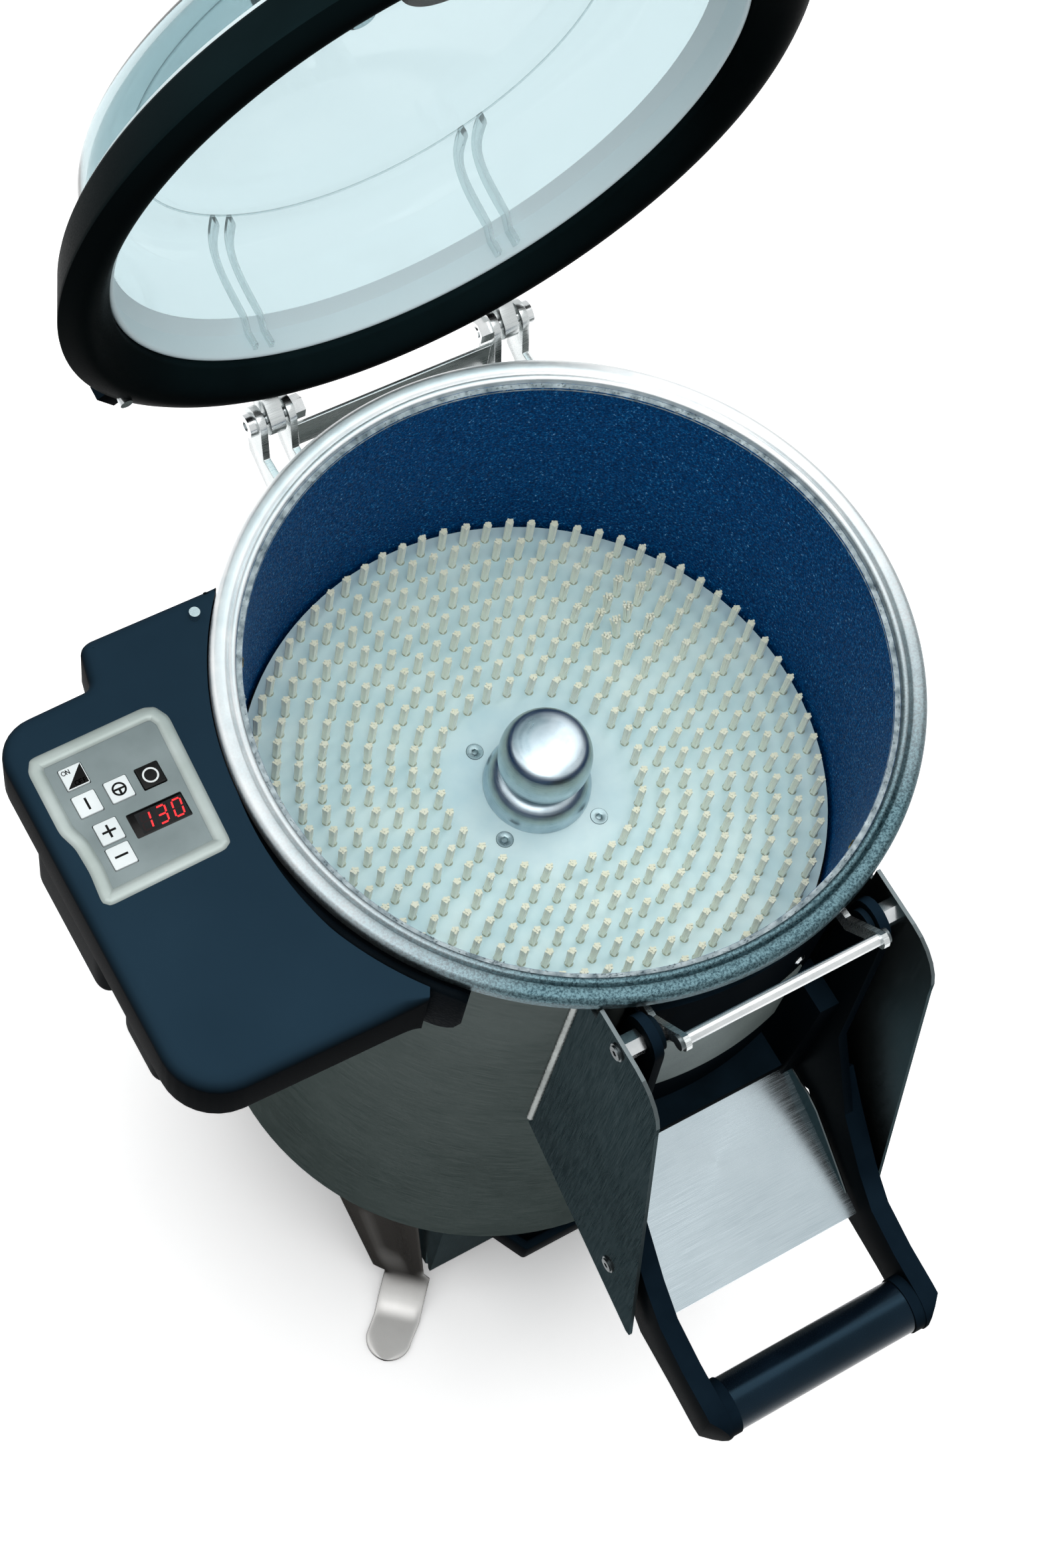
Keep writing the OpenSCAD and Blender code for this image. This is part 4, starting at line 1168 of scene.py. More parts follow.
    def build_knob(self) -> None:
        """Builds the hub knob from its turned outline."""
        foot, z = self.knob_foot, self.plate_top
        waist = foot - 11
        head = z + self.knob_height - 18
        profile = [(0.0, z + 0.01), (foot, z + 0.01), (foot, z + 2)]
        profile += [(waist + 11 * math.cos(math.radians(a)), z + 2 + 13 * math.sin(math.radians(a)))
                    for a in range(6, 85, 6)]
        profile += arc((waist + 3.4, z + 20.6), 3.9, 215, 150, 6)
        profile += [(waist + 2.2, z + 25.2)]
        profile += [(waist - 0.5 + 7.5 * math.cos(math.radians(a)), head + 15.4 * math.sin(math.radians(a)))
                    for a in range(-32, 80, 6)]
        profile += [(waist - 1.2, z + self.knob_height - 2.1), (waist - 4, z + self.knob_height - 1.5),
                    (waist - 9, z + self.knob_height - 0.8), (0.0, z + self.knob_height - 0.02)]
        verts, faces = lathe(profile, 120)
        make_piece("hub_knob_turned", verts, faces, "brush", "zinc", "zinc_satin", Shade.SOFT,
                   stands_for=("hub_knob",))


@dataclass
class Lid:
    """Lid: extruded rubber ring, clear dome with moulded ribs and the stirrup handle."""

    angle: float = 82.0
    hinge_y: float = 180.0
    hinge_z: float = 1.0
    ring_radius: float = 181.45
    ring_inner: float = 155.5
    ring_edge: float = 12.0
    ring_lip: float = 7.0
    ring_sag: float = 8.0
    ring_top: float = 29.0
    ring_back: float = 10.5
    dome_wall: float = 3.0
    dome_height: float = 86.0
    dome_foot: float = 14.0
    dome_inset: float = 5.5
    flange_inset: float = 14.5
    step_radius: float = 120.0
    step_drop: float = 14.0
    rib_places: tuple[float, float] = (61.5, 70.5)
    rib_width: float = 2.4
    rib_depth: float = 6.0
    rib_foot: float = 17.0
    move: Matrix = field(init=False)

    def __post_init__(self) -> None:
        """Works out the swing from closed to open."""
        pivot = Vector((0, self.hinge_y, self.hinge_z))
        self.move = (Matrix.Translation(pivot) @ Matrix.Rotation(-math.radians(self.angle), 4, "X")
                     @ Matrix.Translation(-pivot))

    def build(self) -> None:
        """Builds the lid's visual pieces."""
        self.build_ring()
        self.build_dome()
        self.build_ribs()
        soften("lid_handle", 1.6, "lid", "housing", 3)

    def build_ring(self) -> None:
        """Builds the rubber ring with its crowned landing face."""
        width = self.ring_radius - self.ring_inner
        steps = 28
        profile = [(self.ring_inner + width * k / steps,
                    self.ring_edge + (self.ring_lip - self.ring_edge) * k / steps
                    - self.ring_sag * math.sin(math.pi * k / steps)) for k in range(steps + 1)]
        out, lip, top = self.ring_radius, self.ring_lip, self.ring_top
        back = out - self.ring_back
        profile += [(out - 0.2, lip + 1.0), (out - 0.9, lip + 2.4), (back + 1.2, top - 2.4), (back, top - 0.8),
                    (back - 1.6, top - 0.3), (self.ring_inner + 0.8, top - 0.3), (self.ring_inner, top - 1.2)]
        verts, faces = lathe(profile, 260)
        make_piece("lid_ring_extruded", verts, faces, "lid", "rubber", "black_rubber", Shade.SOFT, self.move,
                   ("lid_ring",))

    def curve(self, inset_mm: float, steps: int = 24) -> list[Point2]:
        """Lists the dome's outline.

        Args:
            inset_mm: Distance inwards from the outer face.
            steps: Steps of the side and of the crown.

        Returns:
            Radius and height points from the flange to the crown.
        """
        flange = self.ring_top + self.dome_wall
        radius = self.ring_inner - self.dome_inset
        high = self.dome_height - self.step_drop
        step = self.step_radius - inset_mm / 2
        side = []
        for k in range(steps + 1):
            a = math.radians(90 * k / steps)
            c, s = max(0.0, math.cos(a)), math.sin(a)
            side.append((step + (radius - self.step_radius - inset_mm / 2) * c ** 0.6,
                         flange + (high - flange - inset_mm) * s ** 0.6))
        crown = [(step * (1 - k / steps), high - inset_mm + self.step_drop * (1 - (1 - k / steps) ** 2))
                 for k in range(1, steps + 1)]
        return side + crown

    def build_dome(self) -> None:
        """Builds the clear dome with its flange."""
        foot = self.ring_inner - 0.3
        flange = self.ring_top + self.dome_wall
        verts, faces = lathe(self.curve(0.0) + list(reversed(self.curve(self.dome_wall))), 220)
        make_piece("lid_dome_blown", verts, faces, "lid", "dome", "clear_dome", Shade.CRISP, self.move,
                   ("lid_dome",))
        inner, edge = foot - self.dome_wall, self.ring_radius - self.flange_inset
        outer_start, inner_start = self.curve(0.0)[0], self.curve(self.dome_wall)[0]
        bead = self.dome_wall / 2
        band = [*arc((foot - bead, self.dome_foot + bead), bead, 180, 360, 8), (foot, self.ring_top),
                (edge, self.ring_top), (edge, flange - 0.6), (edge - 0.6, flange),
                (outer_start[0] + 0.05, flange), (inner_start[0] + 0.05, inner_start[1] - 0.05),
                (inner, flange - 6)]
        verts, faces = lathe(band, 220)
        make_piece("dome_foot_hazed", verts, faces, "lid", "haze", "clear_dome", Shade.CRISP, self.move)
        step, top = self.step_radius - self.dome_wall / 2, self.dome_height - self.step_drop - self.dome_wall
        verts, faces = lathe(arc((step, top - 0.2), 0.5, 0, 324, 9), 220)
        make_piece("dome_step_line", verts, faces, "lid", "rib", "clear_dome", Shade.SMOOTH, self.move)

    def build_ribs(self) -> None:
        """Builds the two pairs of ribs on the hinge side of the dome."""
        foot = self.ring_inner - 0.3 - self.dome_wall
        flange = self.ring_top + self.dome_wall
        wall = [(foot, self.rib_foot), (foot, flange - 6)] + self.curve(self.dome_wall)[:25]
        half, deep = self.rib_width / 2, self.rib_depth
        section = ((-half, -0.6), (-half, deep * 0.7), (-half * 0.5, deep), (half * 0.5, deep),
                   (half, deep * 0.7), (half, -0.6))
        for side in (-1, 1):
            for number, place in enumerate(self.rib_places):
                loops = []
                for i, (r, h) in enumerate(wall):
                    before, after = wall[max(i - 1, 0)], wall[min(i + 1, len(wall) - 1)]
                    ux, uz = after[0] - before[0], after[1] - before[1]
                    size = math.hypot(ux, uz) or 1.0
                    nr, nz = -uz / size, ux / size
                    loop = []
                    for dx, depth in section:
                        x = side * place + dx
                        radius = r + nr * depth
                        loop.append((x, math.sqrt(max(radius * radius - x * x, 0.0)), h + nz * depth))
                    loops.append(loop)
                verts, faces = stack(loops)
                make_piece(f"dome_rib_{side_name(side)}_{number}", verts, faces, "lid", "rib", "clear_dome",
                           Shade.SOFT, self.move)


@dataclass
class Housing:
    """Control housing: covers, silver bezel, printed film, keys and lit display."""

    top: float = -4.0
    height: float = 40.0
    inner: float = 176.5
    tuck: float = 5.8
    edge: float = 8.0
    low_edge: float = 7.0
    # Plan of the cover: corners at the rear step with the reach of their rounding, then the centres and
    # radii of the two large outer corners.
    plan: tuple[Point3, ...] = ((-200, 113, 14), (-205, 90.5, 9))
    rear_corner: Point3 = (-237, 69.5, 20)
    front_corner: Point3 = (-229, -84, 28)
    # Belly steps: front and rear ends along Y, and depth below the cover.
    belly: tuple[Point3, ...] = ((-22, 50, 46), (-54, -4, 16), (-78, -40, 30))
    belly_at: float = -220.5
    belly_width: float = 69.0
    bezel: tuple[Point2, ...] = (
        (-246, 68), (-189, 69), (-184, 67), (-180.5, 60), (-184, -8), (-188, -10.5), (-245, -12), (-248, -9),
        (-246.5, 6), (-247, 19.5), (-250, 29), (-249.5, 62))
    bezel_round: float = 7.0
    bezel_width: float = 6.8
    bezel_rise: float = 1.1
    key_size: float = 11.0
    window_size: Point2 = (27.4, 12.8)
    window_at: Point2 = (-206.5, 17.8)
    window_round: float = 1.8
    digit_pitch: float = 7.75
    digit_shift: float = -6.2
    digit_cell: Point2 = (7.6, 10.6)
    # Lit segments of the digits one, three and nought.
    digits: tuple[str, ...] = ("bc", "abcdg", "abcdef")
    keys: dict[str, Point2] = field(default_factory=lambda: {
        "key_on_off": (-232, 51.5), "key_start": (-232.6, 36.8), "key_pulse": (-216.8, 37),
        "key_stop": (-201.2, 37), "key_plus": (-230, 20.4), "key_minus": (-230.3, 7.4)})

    def build(self) -> None:
        """Builds the housing's visual pieces."""
        self.build_covers()
        self.build_bezel()
        self.build_film()
        self.build_keys()
        self.build_display()

    def outline(self) -> tuple[list[Point2], list[float]]:
        """Gives the plan of the cover between its outer wall and the drum.

        Returns:
            The rounded plan outline and each point's share of the edge rounding.
        """
        bends = ((self.rear_corner, 90, 180), (self.front_corner, 180, 267))
        turns = [(*p, 3.0) for (x, y, r), start, end in bends for p in arc((x, y), r, start, end, 8)]
        corners = [(-60.0, 113.0, 4.0), *self.plan, *turns, (-60.0, -115.4, 4.0)]
        shape = rounded([(x, y) for x, y, _ in corners], [reach for _, _, reach in corners], 4)
        near = self.inner - self.tuck
        wall = [p for p in shape if math.hypot(*p) > (near if p[1] > 0 else self.inner)]
        rear, front = math.asin(wall[0][1] / math.hypot(*wall[0])), math.asin(-wall[-1][1] / self.inner)
        hug = []
        steps = 48
        # The tuck under the rim grows from 22 degrees before the left side to 4 degrees behind it.
        for k in range(1, steps):
            a = -front + (front + rear) * k / steps
            close = self.inner - self.tuck * min(1.0, max(0.0, (math.degrees(a) + 22) / 26))
            hug.append((-close * math.cos(a), close * math.sin(a)))
        # The rounding fades out over the last 16 mm before the front end.
        shares = [min(1.0, math.dist(p, wall[-1]) / 16) for p in wall]
        return wall + hug, shares + [0.0] * len(hug)

    def build_covers(self) -> None:
        """Builds the upper cover with its rounded shoulder and the belly under it."""
        outline, shares = self.outline()
        bezel_hole = inset(rounded(self.bezel, self.bezel_round), 1.5)
        loops = pillow(outline, self.top - self.height, self.top, self.low_edge, self.edge, 7, shares)
        verts, faces = stack(loops, cap_last=False)
        mesh = bpy.data.meshes.new("cover")
        work = bmesh.new()
        points = [work.verts.new(v) for v in verts]
        for f in faces:
            work.faces.new([points[i] for i in f])
        rim = points[-len(outline):]
        hole = [work.verts.new((x, y, self.top)) for x, y in bezel_hole]
        sunk = [work.verts.new((x, y, self.top - 3)) for x, y in bezel_hole]
        edges = []
        for ring in (rim, hole):
            for a, b in zip(ring, ring[1:] + ring[:1]):
                edges.append(work.edges.get((a, b)) or work.edges.new((a, b)))
        bmesh.ops.triangle_fill(work, use_beauty=True, use_dissolve=False, edges=edges, normal=(0, 0, 1))
        for i in range(len(hole)):
            j = (i + 1) % len(hole)
            work.faces.new((hole[i], hole[j], sunk[j], sunk[i]))
        bmesh.ops.recalc_face_normals(work, faces=work.faces)
        work.to_mesh(mesh)
        work.free()
        mesh.transform(PLACE.matrix())
        finish_piece("control_cover_moulded", mesh, "machine", "housing", Shade.CRISP,
                     ("control_housing",))
        self.build_belly()
        self.build_trim()

    def build_trim(self) -> None:
        """Builds the knurled rubber edge between cover and drum, rounded where it ends at the front."""
        low, high = self.top - self.height - 2, self.top - 1.6
        section = [(160.6, low), (160.6, -11.6), (170.6, -11.6), (171.0, -9.0), (172.2, high - 0.8),
                   (174.0, high), (175.6, high - 0.4), (self.inner - 0.1, high - 1.6), (self.inner - 0.1, low)]
        first, last, steps = math.radians(140.6), math.radians(224.2), 90
        low_turn, high_turn, middle = 13.0, 6.0, 172.0
        loops = []
        for k in range(steps + 1):
            a = first + (last - first) * k / steps
            left = (last - a) * middle
            lift = low_turn - math.sqrt(max(0.0, low_turn ** 2 - max(0.0, low_turn - left) ** 2))
            drop = 0.35 * (high_turn - math.sqrt(max(0.0, high_turn ** 2 - max(0.0, high_turn - left) ** 2)))
            loops.append([(r * math.cos(a), r * math.sin(a),
                           max(low + lift, min(z, high - drop - (high - z) * 0.9))) for r, z in section])
        verts, faces = stack(loops)
        make_piece("housing_edge_trim", verts, faces, "machine", "trim", "black_rubber", Shade.SOFT,
                   stands_for=("housing_gasket",))

    def build_belly(self) -> None:
        """Builds the stepped belly under the upper cover."""
        low = self.top - self.height
        verts: list[Point3] = []
        faces: Faces = []
        for y0, y1, depth in self.belly:
            plan = rounded(rectangle((self.belly_at, (y0 + y1) / 2), self.belly_width, y1 - y0), 18.0, 4)
            append_skin(verts, faces, stack(pillow(plan, low - depth, low + 2, 12.0, 0.0, 8)))
        make_piece("belly_cover_moulded", verts, faces, "machine", "belly", "housing_black",
                   stands_for=("housing_belly",))

    def build_bezel(self) -> None:
        """Builds the crowned silver frame around the film."""
        outline = rounded(self.bezel, self.bezel_round)
        width, low = self.bezel_width, self.top - 2.6
        loops = []
        steps = 12
        for k in range(steps + 1):
            across = 2 * k / steps - 1
            loops.append([(x, y, self.top + 0.2 + self.bezel_rise * (1 - abs(across) ** 3))
                          for x, y in inset(outline, width * (across + 1) / 2)])
        loops.append([(x, y, low) for x, y in inset(outline, width)])
        loops.append([(x, y, low) for x, y in outline])
        verts, faces = stack(loops, closed=True)
        make_piece("bezel_painted", verts, faces, "machine", "bezel", "bezel_grey", Shade.SOFT,
                   stands_for=("control_bezel",))

    def build_film(self) -> None:
        """Builds the printed film with rounded cut-outs for keys and display."""
        outline = inset(rounded(self.bezel, self.bezel_round), 5.6)
        high, gap = self.top, self.key_size + 0.7
        work = bmesh.new()
        edges = []
        rings = [outline] + [rounded(rectangle(at, gap, gap), 1.8, 2) for at in self.keys.values()]
        rings.append(rounded(rectangle(self.window_at, *self.window_size), self.window_round, 2))
        for ring in rings:
            upper = [work.verts.new((x, y, high)) for x, y in ring]
            lower = [work.verts.new((x, y, high - 2.9)) for x, y in ring]
            for i in range(len(ring)):
                j = (i + 1) % len(ring)
                edges.append(work.edges.new((upper[i], upper[j])))
                work.faces.new((upper[i], upper[j], lower[j], lower[i]))
        bmesh.ops.triangle_fill(work, use_beauty=True, use_dissolve=False, edges=edges, normal=(0, 0, 1))
        bmesh.ops.recalc_face_normals(work, faces=work.faces)
        mesh = bpy.data.meshes.new("film")
        work.to_mesh(mesh)
        work.free()
        mesh.transform(PLACE.matrix())
        finish_piece("film_printed", mesh, "machine", "membrane", Shade.CRISP,
                     ("membrane_panel",))

    def build_keys(self) -> None:
        """Builds the keys with rounded corners and their printed signs."""
        high = self.top + 0.8
        for key, at in self.keys.items():
            dark = key == "key_stop"
            outline = rounded(rectangle(at, self.key_size, self.key_size), 1.7, 2)
            verts, faces = stack(pillow(outline, self.top - 6, high - 0.04, 0.0, 0.35, 3))
            make_piece(f"{key}_cap", verts, faces, f"{key}_body", "black_key" if dark else "white_key",
                       "key_black" if dark else "key_white", stands_for=(key,))
            for finish, shapes in self.signs(key, at).items():
                verts, faces = plates(shapes, high - 0.06, high)
                make_piece(f"{key}_{finish}", verts, faces, f"{key}_body", finish,
                           "key_white" if finish == "white_ink" else "key_black")

    def signs(self, key: str, at: Point2) -> dict[str, list[list[Point2]]]:
        """Lists the printed shapes of a key by their finish.

        Args:
            key: Key node.
            at: Middle of the key.

        Returns:
            Outlines by finish key.
        """
        x, y = at
        if key == "key_plus":
            return {"ink": [rectangle(at, 6.6, 1.1), rectangle((x, y + 1.925), 1.1, 2.75),
                            rectangle((x, y - 1.925), 1.1, 2.75)]}
        if key == "key_minus":
            return {"ink": [rectangle(at, 6.4, 1.1)]}
        if key == "key_start":
            return {"ink": [rectangle(at, 1.1, 6.2)]}
        if key == "key_stop":
            return {"white_ink": hoop(at, 3.4, 0.85, 36)}
        if key == "key_pulse":
            return {"ink": [*hoop(at, 2.95, 0.95, 32), rectangle((x, y + 0.1), 5.2, 1.0),
                            rectangle((x, y - 1.5), 1.1, 2.3)]}
        reach = self.key_size / 2 - 0.45
        half = [(x + reach, y + reach), (x - reach, y - reach), (x + reach, y - reach)]
        return {"ink": [half, *self.word("ON", (x - 4.6, y + 2.0), 2.4)],
                "white_ink": self.word("OFF", (x - 1.0, y - 4.6), 2.4)}

    @staticmethod
    def word(text: str, start: Point2, size: float) -> list[list[Point2]]:
        """Draws a word of plain strokes.

        Args:
            text: Letters out of O, N and F.
            start: Lower left end.
            size: Height of the letters.

        Returns:
            The strokes' outlines.
        """
        shapes: list[list[Point2]] = []
        x, y = start
        pen, wide = 0.4, size * 0.6
        for letter in text:
            if letter == "O":
                shapes += hoop((x + wide * 0.62, y + size / 2), size / 2 - pen / 2, pen, 20, 0.92)
                x += wide * 1.55
                continue
            shapes.append(stroke((x, y), (x, y + size), pen))
            if letter == "N":
                shapes.append(stroke((x, y + size), (x + wide, y), pen))
                shapes.append(stroke((x + wide, y), (x + wide, y + size), pen))
                x += wide * 1.5
            else:
                shapes.append(stroke((x, y + size - pen / 2), (x + wide * 0.9, y + size - pen / 2), pen))
                shapes.append(stroke((x, y + size * 0.52), (x + wide * 0.7, y + size * 0.52), pen))
                x += wide * 1.35
        return shapes

    def build_display(self) -> None:
        """Builds the smoked window with three digits of seven segments."""
        x, y = self.window_at
        wide, tall = self.window_size[0] - 0.1, self.window_size[1] - 0.1
        outline = rounded(rectangle(self.window_at, wide, tall), self.window_round, 2)
        high = self.top - 0.4
        verts, faces = stack(pillow(outline, high - 2.6, high - 0.08, 0.0, 0.15, 2))
        make_piece("display_window_smoked", verts, faces, "machine", "window", "display_red",
                   stands_for=("display_window",))
        places = [(x + self.digit_shift + self.digit_pitch * k, y) for k in range(len(self.digits))]
        cells = [rectangle(at, *self.digit_cell) for at in places]
        verts, faces = plates(cells, high - 0.09, high - 0.05)
        make_piece("display_cells", verts, faces, "machine", "cell", "key_black")
        shapes: dict[str, list[list[Point2]]] = {"lit": [], "unlit": []}
        for at, digit in zip(places, self.digits):
            for segment, shape in self.segments(at).items():
                shapes["lit" if segment in digit else "unlit"].append(shape)
        for finish, outlines in shapes.items():
            verts, faces = plates(outlines, high - 0.05, high - 0.01)
            make_piece(f"display_segments_{finish}", verts, faces, "machine", finish, "display_red")

    @staticmethod
    def segments(at: Point2) -> dict[str, list[Point2]]:
        """Gives the seven slanted segments of a digit.

        Args:
            at: Middle of the digit.

        Returns:
            Outlines by segment letter.
        """
        half, tall, pen, slant, gap = 2.1, 4.1, 0.75, 0.15, 0.5
        runs = {"a": ((-half, tall), (half, tall)), "b": ((half, tall), (half, 0)),
                "c": ((half, 0), (half, -tall)), "d": ((-half, -tall), (half, -tall)),
                "e": ((-half, 0), (-half, -tall)), "f": ((-half, tall), (-half, 0)),
                "g": ((-half, 0), (half, 0))}
        shapes = {}
        for name, (start, end) in runs.items():
            ux, uy = end[0] - start[0], end[1] - start[1]
            size = math.hypot(ux, uy)
            ux, uy = ux / size, uy / size
            near = (start[0] + ux * gap, start[1] + uy * gap)
            far = (end[0] - ux * gap, end[1] - uy * gap)
            shapes[name] = [(at[0] + px + slant * py, at[1] + py) for px, py in stroke(near, far, pen)]
        return shapes


@dataclass
class Legs:
    """Four pressed legs, each a strip bent into a rounded foot, with a bolted flange."""

    turn: float = 229.0
    floor: float = -550.0
    top: float = 136.0
    start: float = 145.0
    lean: float = 4.0
    bend: float = 24.0
    sheet: float = 3.0
    reach: float = 204.0
    foot_half: float = 14.0
    foot_shift: float = -1.9
    # Left and right edges of the strip at its top and at the bend.
    top_edges: Point2 = (-55.0, -7.0)
    bend_edges: Point2 = (-14.0, 14.5)
    hollow_depth: float = 2.6
    flange_at: Point2 = (130.5, -31.0)
    flange_size: Point2 = (33.0, 48.0)

    def build(self) -> None:
        """Builds the legs as one piece."""
        verts: list[Point3] = []
        faces: Faces = []
        turn = math.radians(self.turn)
        strip = stack([self.section(*station) for station in self.stations()])
        flange = stack(pillow(rounded(rectangle(self.flange_at, *self.flange_size), 6.0, 2), self.top,
                              self.top + self.sheet, 0.0, 0.0))
        for mirror_x in (1, -1):
            for mirror_y in (1, -1):
                for points, sides in (strip, flange):
                    placed = [(mirror_x * (s * math.cos(turn) - y * math.sin(turn)),
                               mirror_y * (s * math.sin(turn) + y * math.cos(turn)), z + self.floor)
                              for s, y, z in points]
                    append_skin(verts, faces, (placed, sides))
        make_piece("legs_pressed", verts, faces, "machine", "leg", "stainless_brushed", Shade.SOFT,
                   stands_for=("legs",))

    def stations(self) -> list[tuple[float, float, float, float, float, float]]:
        """Lists places along a leg.

        Returns:
            Reach, height, tilt of the face, left edge, right edge and depth of the pressed hollow.
        """
        half = self.sheet / 2
        (top_left, top_right), (left, right) = self.top_edges, self.bend_edges
        knee = self.start + (self.top - self.bend - half) * math.tan(math.radians(self.lean))
        places = []
        for k in range(15):
            z = self.top + 0.9 - (self.top + 0.9 - self.bend - half) * k / 14
            share = (self.top + 1 - z) / (self.top + 3)
            places.append((self.start + (self.top - z) * math.tan(math.radians(self.lean)), z, 0.0,
                           top_left + (left - top_left) * share, top_right + (right - top_right) * share,
                           min(1.0, k / 3, (14 - k) / 3)))
        for k in range(1, 9):
            a = math.radians(90 * k / 8)
            places.append((knee + self.bend * (1 - math.cos(a)), half + self.bend * (1 - math.sin(a)), a,
                           left, right, 0.0))
        first, round_at = knee + self.bend, self.reach - self.foot_half
        for k in range(1, 7):
            share = k / 6
            places.append((first + (round_at - first) * share, half, math.pi / 2,
                           left + (self.foot_shift - self.foot_half - left) * share,
                           right + (self.foot_shift + self.foot_half - right) * share, 0.0))
        for k in range(1, 10):
            a = math.radians(88 * k / 9)
            wide = self.foot_half * math.cos(a)
            places.append((round_at + self.foot_half * math.sin(a), half, math.pi / 2, self.foot_shift - wide,
                           self.foot_shift + wide, 0.0))
        return places

    def section(self, s: float, z: float, tilt: float, left: float, right: float,
                hollow: float) -> list[Point3]:
        """Gives the section of a leg with rounded edges and its pressed hollow.

        Args:
            s: Reach from the axis.
            z: Height above the floor.
            tilt: Turn of the face from outwards to upwards.
            left: Left edge.
            right: Right edge.
            hollow: Share of the hollow's full depth.

        Returns:
            The closed section.
        """
        half = self.sheet / 2
        out, up = math.cos(tilt), math.sin(tilt)
        steps = 20
        face, rear = [], []
        for k in range(steps + 1):
            u = -math.cos(math.pi * k / steps)
            y = (left + right) / 2 + u * (right - left) / 2
            depth = half * min(1.0, math.sqrt(max(0.0, 1 - abs(u) ** 5)) + 0.05)
            dent = self.hollow_depth * hollow * math.exp(-((u / 0.5) ** 4))
            face.append((s + out * (depth - dent), y, z + up * (depth - dent)))
            rear.append((s - out * (depth + dent), y, z - up * (depth + dent)))
        return face + list(reversed(rear))


@dataclass
class Dressing:
    """Finishes for the CAD nodes that stay as they are, and broken edges on plain ones."""

    shown: dict[str, str] = field(default_factory=lambda: {
        "drum_shell": "drum", "abrasive_liner": "liner", "liner_rivets": "brass", "bottom_plate": "drum",
        "base_box": "cheek", "base_covers": "black", "drain_duct": "strip", "leg_bolts": "bright",
        "gear_motor": "motor", "motor_bolts": "bright", "shaft_seal": "rubber",
        "display_module": "black", "control_board": "board", "switch_plunger": "bright",
        "lid_switch": "black", "chute_panel_left": "cheek", "chute_panel_right": "cheek",
        "chute_floor": "chute", "pivot_standoffs": "bright", "pivot_washers": "black", "panel_screws": "screw",
        "guide_pads": "rubber", "catch_rod": "bright", "catch_arms": "strip", "catch_screws": "screw",
        "hinge_bolts": "bright", "dome_boss": "dome", "switch_pin": "bright", "brush_plate": "plate",
        "drive_shaft": "bright", "door_plate": "label", "door_rivets": "bright", "door_grip": "grip",
        "grip_collars": "arm"})
    softened: tuple[tuple[str, float, str, str, str], ...] = (
        ("waste_spout", 1.5, "machine", "black", "black_plastic"),
        ("hinge_bracket", 0.5, "machine", "strip", "stainless_brushed"),
        ("lid_lugs", 0.8, "lid", "strip", "stainless_brushed"),
        ("switch_tab", 0.8, "lid", "black", "black_plastic"),
        ("door_arms", 2.0, "door", "arm", "housing_black"),
        ("door_panel", 0.8, "door", "black", "black_plastic"),
    )
    chute_half: float = 57.5
    chute_top: float = -180.0
    chute_start: float = 140.0
    chute_slope: float = 42.0 / 117.0
    hem_sheet: float = 1.3
    # Turned-up edge of the chute floor: place along Y and height.
    hem: tuple[Point2, ...] = ((-172, 3.0), (-178, 6.0), (-184, 8.0), (-190, 9.5), (-196, 12.5), (-206, 13.0),
                               (-220, 9.0), (-236, 4.0), (-246, 0.6))

    def build(self) -> None:
        """Gives every CAD node that stays its finish, softens the others and hems the chute."""
        for side in (-1, 1):
            self.build_hem(side)
        for node, finish in self.shown.items():
            self.dress(node, finish)
        for node, width, body, finish, slot in self.softened:
            soften(node, width, body, finish)

    def build_hem(self, side: int) -> None:
        """Builds the turned-up edge of the chute floor beside a door arm.

        Args:
            side: -1 for the left edge, 1 for the right one.
        """
        loops = []
        for y, tall in self.hem:
            z = self.chute_top - self.chute_slope * (-y - self.chute_start)
            inner, outer = side * (self.chute_half - self.hem_sheet), side * self.chute_half
            middle = (inner + outer) / 2
            loops.append([(inner, y, z - 0.5), (inner, y, z + tall - 0.4), (middle, y, z + tall),
                          (outer, y, z + tall - 0.4), (outer, y, z - 0.5)])
        verts, faces = stack(loops)
        make_piece(f"chute_hem_{side_name(side)}", verts, faces, "machine", "cheek", "stainless_dark",
                   Shade.SOFT)

    @staticmethod
    def dress(node: str, finish: str) -> None:
        """Assigns a finish to a CAD node's own slots.

        Args:
            node: CAD node.
            finish: Finish key.
        """
        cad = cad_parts[node]
        if not cad.material_slots:
            cad.data.materials.append(None)
        for entry in cad.material_slots:
            entry.link = "OBJECT"
            entry.material = FINISH[finish]
        LOG.info("%s stays, in %s", node, finish)


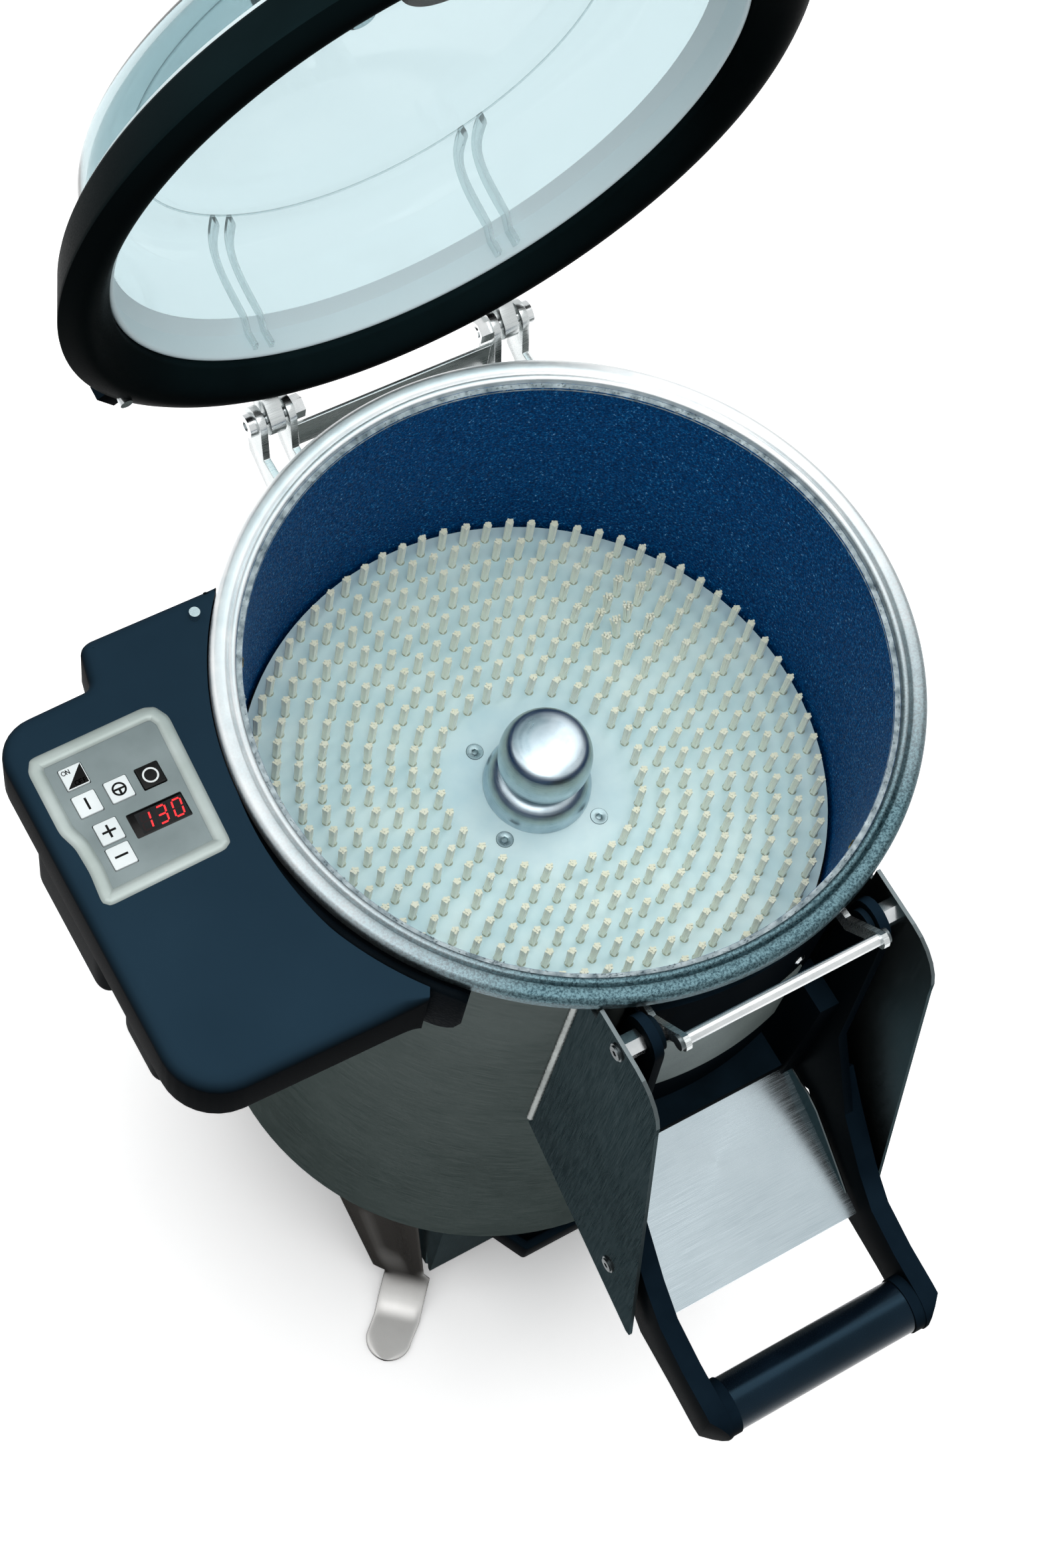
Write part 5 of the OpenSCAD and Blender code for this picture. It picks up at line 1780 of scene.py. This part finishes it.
@dataclass
class Studio:
    """White floor, soft lights and the camera at the photograph's place."""

    camera_at: Point3 = (-442.1, -435.1, 1115.2)
    right: Point3 = (0.8595, -0.4956, 0.1249)
    up: Point3 = (0.4050, 0.8095, 0.4252)
    back: Point3 = (-0.3118, -0.3149, 0.8964)
    focal_pixels: float = 4101.55
    sensor_mm: float = 36.0
    floor_half: float = 6.0
    # Name, place, target and side in millimetres, and power in watts.
    lights: tuple[tuple[str, Point3, Point3, float, float], ...] = (
        ("overhead", (120, 120, 1900), (0, 0, 0), 1500, 14.0),
        ("softbox_front_left", (-450, -450, 1600), (0, 0, -100), 900, 6.5),
        ("softbox_right", (1100, 650, 1600), (0, 0, -200), 1100, 6.0),
        ("softbox_rear_left", (-900, 900, 1500), (0, 0, 0), 1300, 4.0),
    )

    def build(self) -> None:
        """Builds floor, light and camera."""
        self.build_floor()
        self.build_world()
        for light in self.lights:
            self.build_light(*light)
        self.build_camera()

    def build_floor(self) -> None:
        """Builds the pale floor."""
        size = 2 * self.floor_half
        mesh = bpy.data.meshes.new("floor")
        mesh.from_pydata([(x, y, 0) for x, y in rectangle((0, 0), size, size)], [], [(0, 1, 2, 3)])
        mesh.materials.append(FINISH["floor"])
        floor = bpy.data.objects.new("studio_floor", mesh)
        bpy.context.scene.collection.objects.link(floor)

    def build_world(self) -> None:
        """Builds the surroundings, bright overhead and dimmer at the sides."""
        world = bpy.data.worlds.new("studio_surroundings")
        bpy.context.scene.world = world
        world.use_nodes = True
        tree = world.node_tree
        tree.nodes.clear()
        place = add_node(tree, "ShaderNodeTexCoord")
        split = add_node(tree, "ShaderNodeSeparateXYZ", links={"Vector": place.outputs["Generated"]})
        ramp = add_node(tree, "ShaderNodeValToRGB", {"stops": ((0.0, "#2a3238"), (0.3, "#ffffff"))},
                        {"Fac": split.outputs["Z"]})
        sky = add_node(tree, "ShaderNodeBackground", {"Strength": 0.57}, {"Color": ramp.outputs["Color"]})
        back = add_node(tree, "ShaderNodeBackground", {"Color": linear("#f3f4f4"), "Strength": 1.0})
        both = add_node(tree, "ShaderNodeMixShader", links={
            0: seen(tree), 1: sky.outputs["Background"], 2: back.outputs["Background"]})
        add_node(tree, "ShaderNodeOutputWorld", links={"Surface": both.outputs["Shader"]})

    def build_light(self, name: str, at: Point3, target: Point3, size: float, power: float) -> None:
        """Builds one soft light.

        Args:
            name: Light name.
            at: Place in drum millimetres.
            target: Place it points at.
            size: Side of the light in millimetres.
            power: Power in watts.
        """
        data = bpy.data.lights.new(name, "AREA")
        data.shape = "SQUARE"
        data.size = size * MM
        data.energy = power
        light = bpy.data.objects.new(name, data)
        move = PLACE.matrix()
        start, end = move @ Vector(at), move @ Vector(target)
        light.location = start
        light.rotation_euler = (end - start).to_track_quat("-Z", "Y").to_euler()
        bpy.context.scene.collection.objects.link(light)

    def build_camera(self) -> None:
        """Builds the camera at the photograph's place and angle."""
        data = bpy.data.cameras.new("photo_camera")
        data.sensor_fit = "AUTO"
        data.sensor_width = self.sensor_mm
        data.lens = self.focal_pixels / max(PHOTO_SIZE) * self.sensor_mm
        data.clip_end = 50.0
        camera = bpy.data.objects.new("photo_camera", data)
        axes = Matrix((self.right, self.up, self.back)).transposed().to_4x4()
        camera.matrix_world = Matrix.Translation(PLACE.matrix() @ Vector(self.camera_at)) @ axes
        bpy.context.scene.collection.objects.link(camera)
        bpy.context.scene.camera = camera
        bpy.context.scene.view_settings.view_transform = "Standard"


def main() -> None:
    """Builds the whole scene."""
    logging.basicConfig(level=logging.INFO)
    for part in (Dressing(), Drum(), Legs(), Brush(), Lid(), Housing(), Studio()):
        LOG.info("building %s", type(part).__name__)
        part.build()


if __name__ == "__main__":
    main()
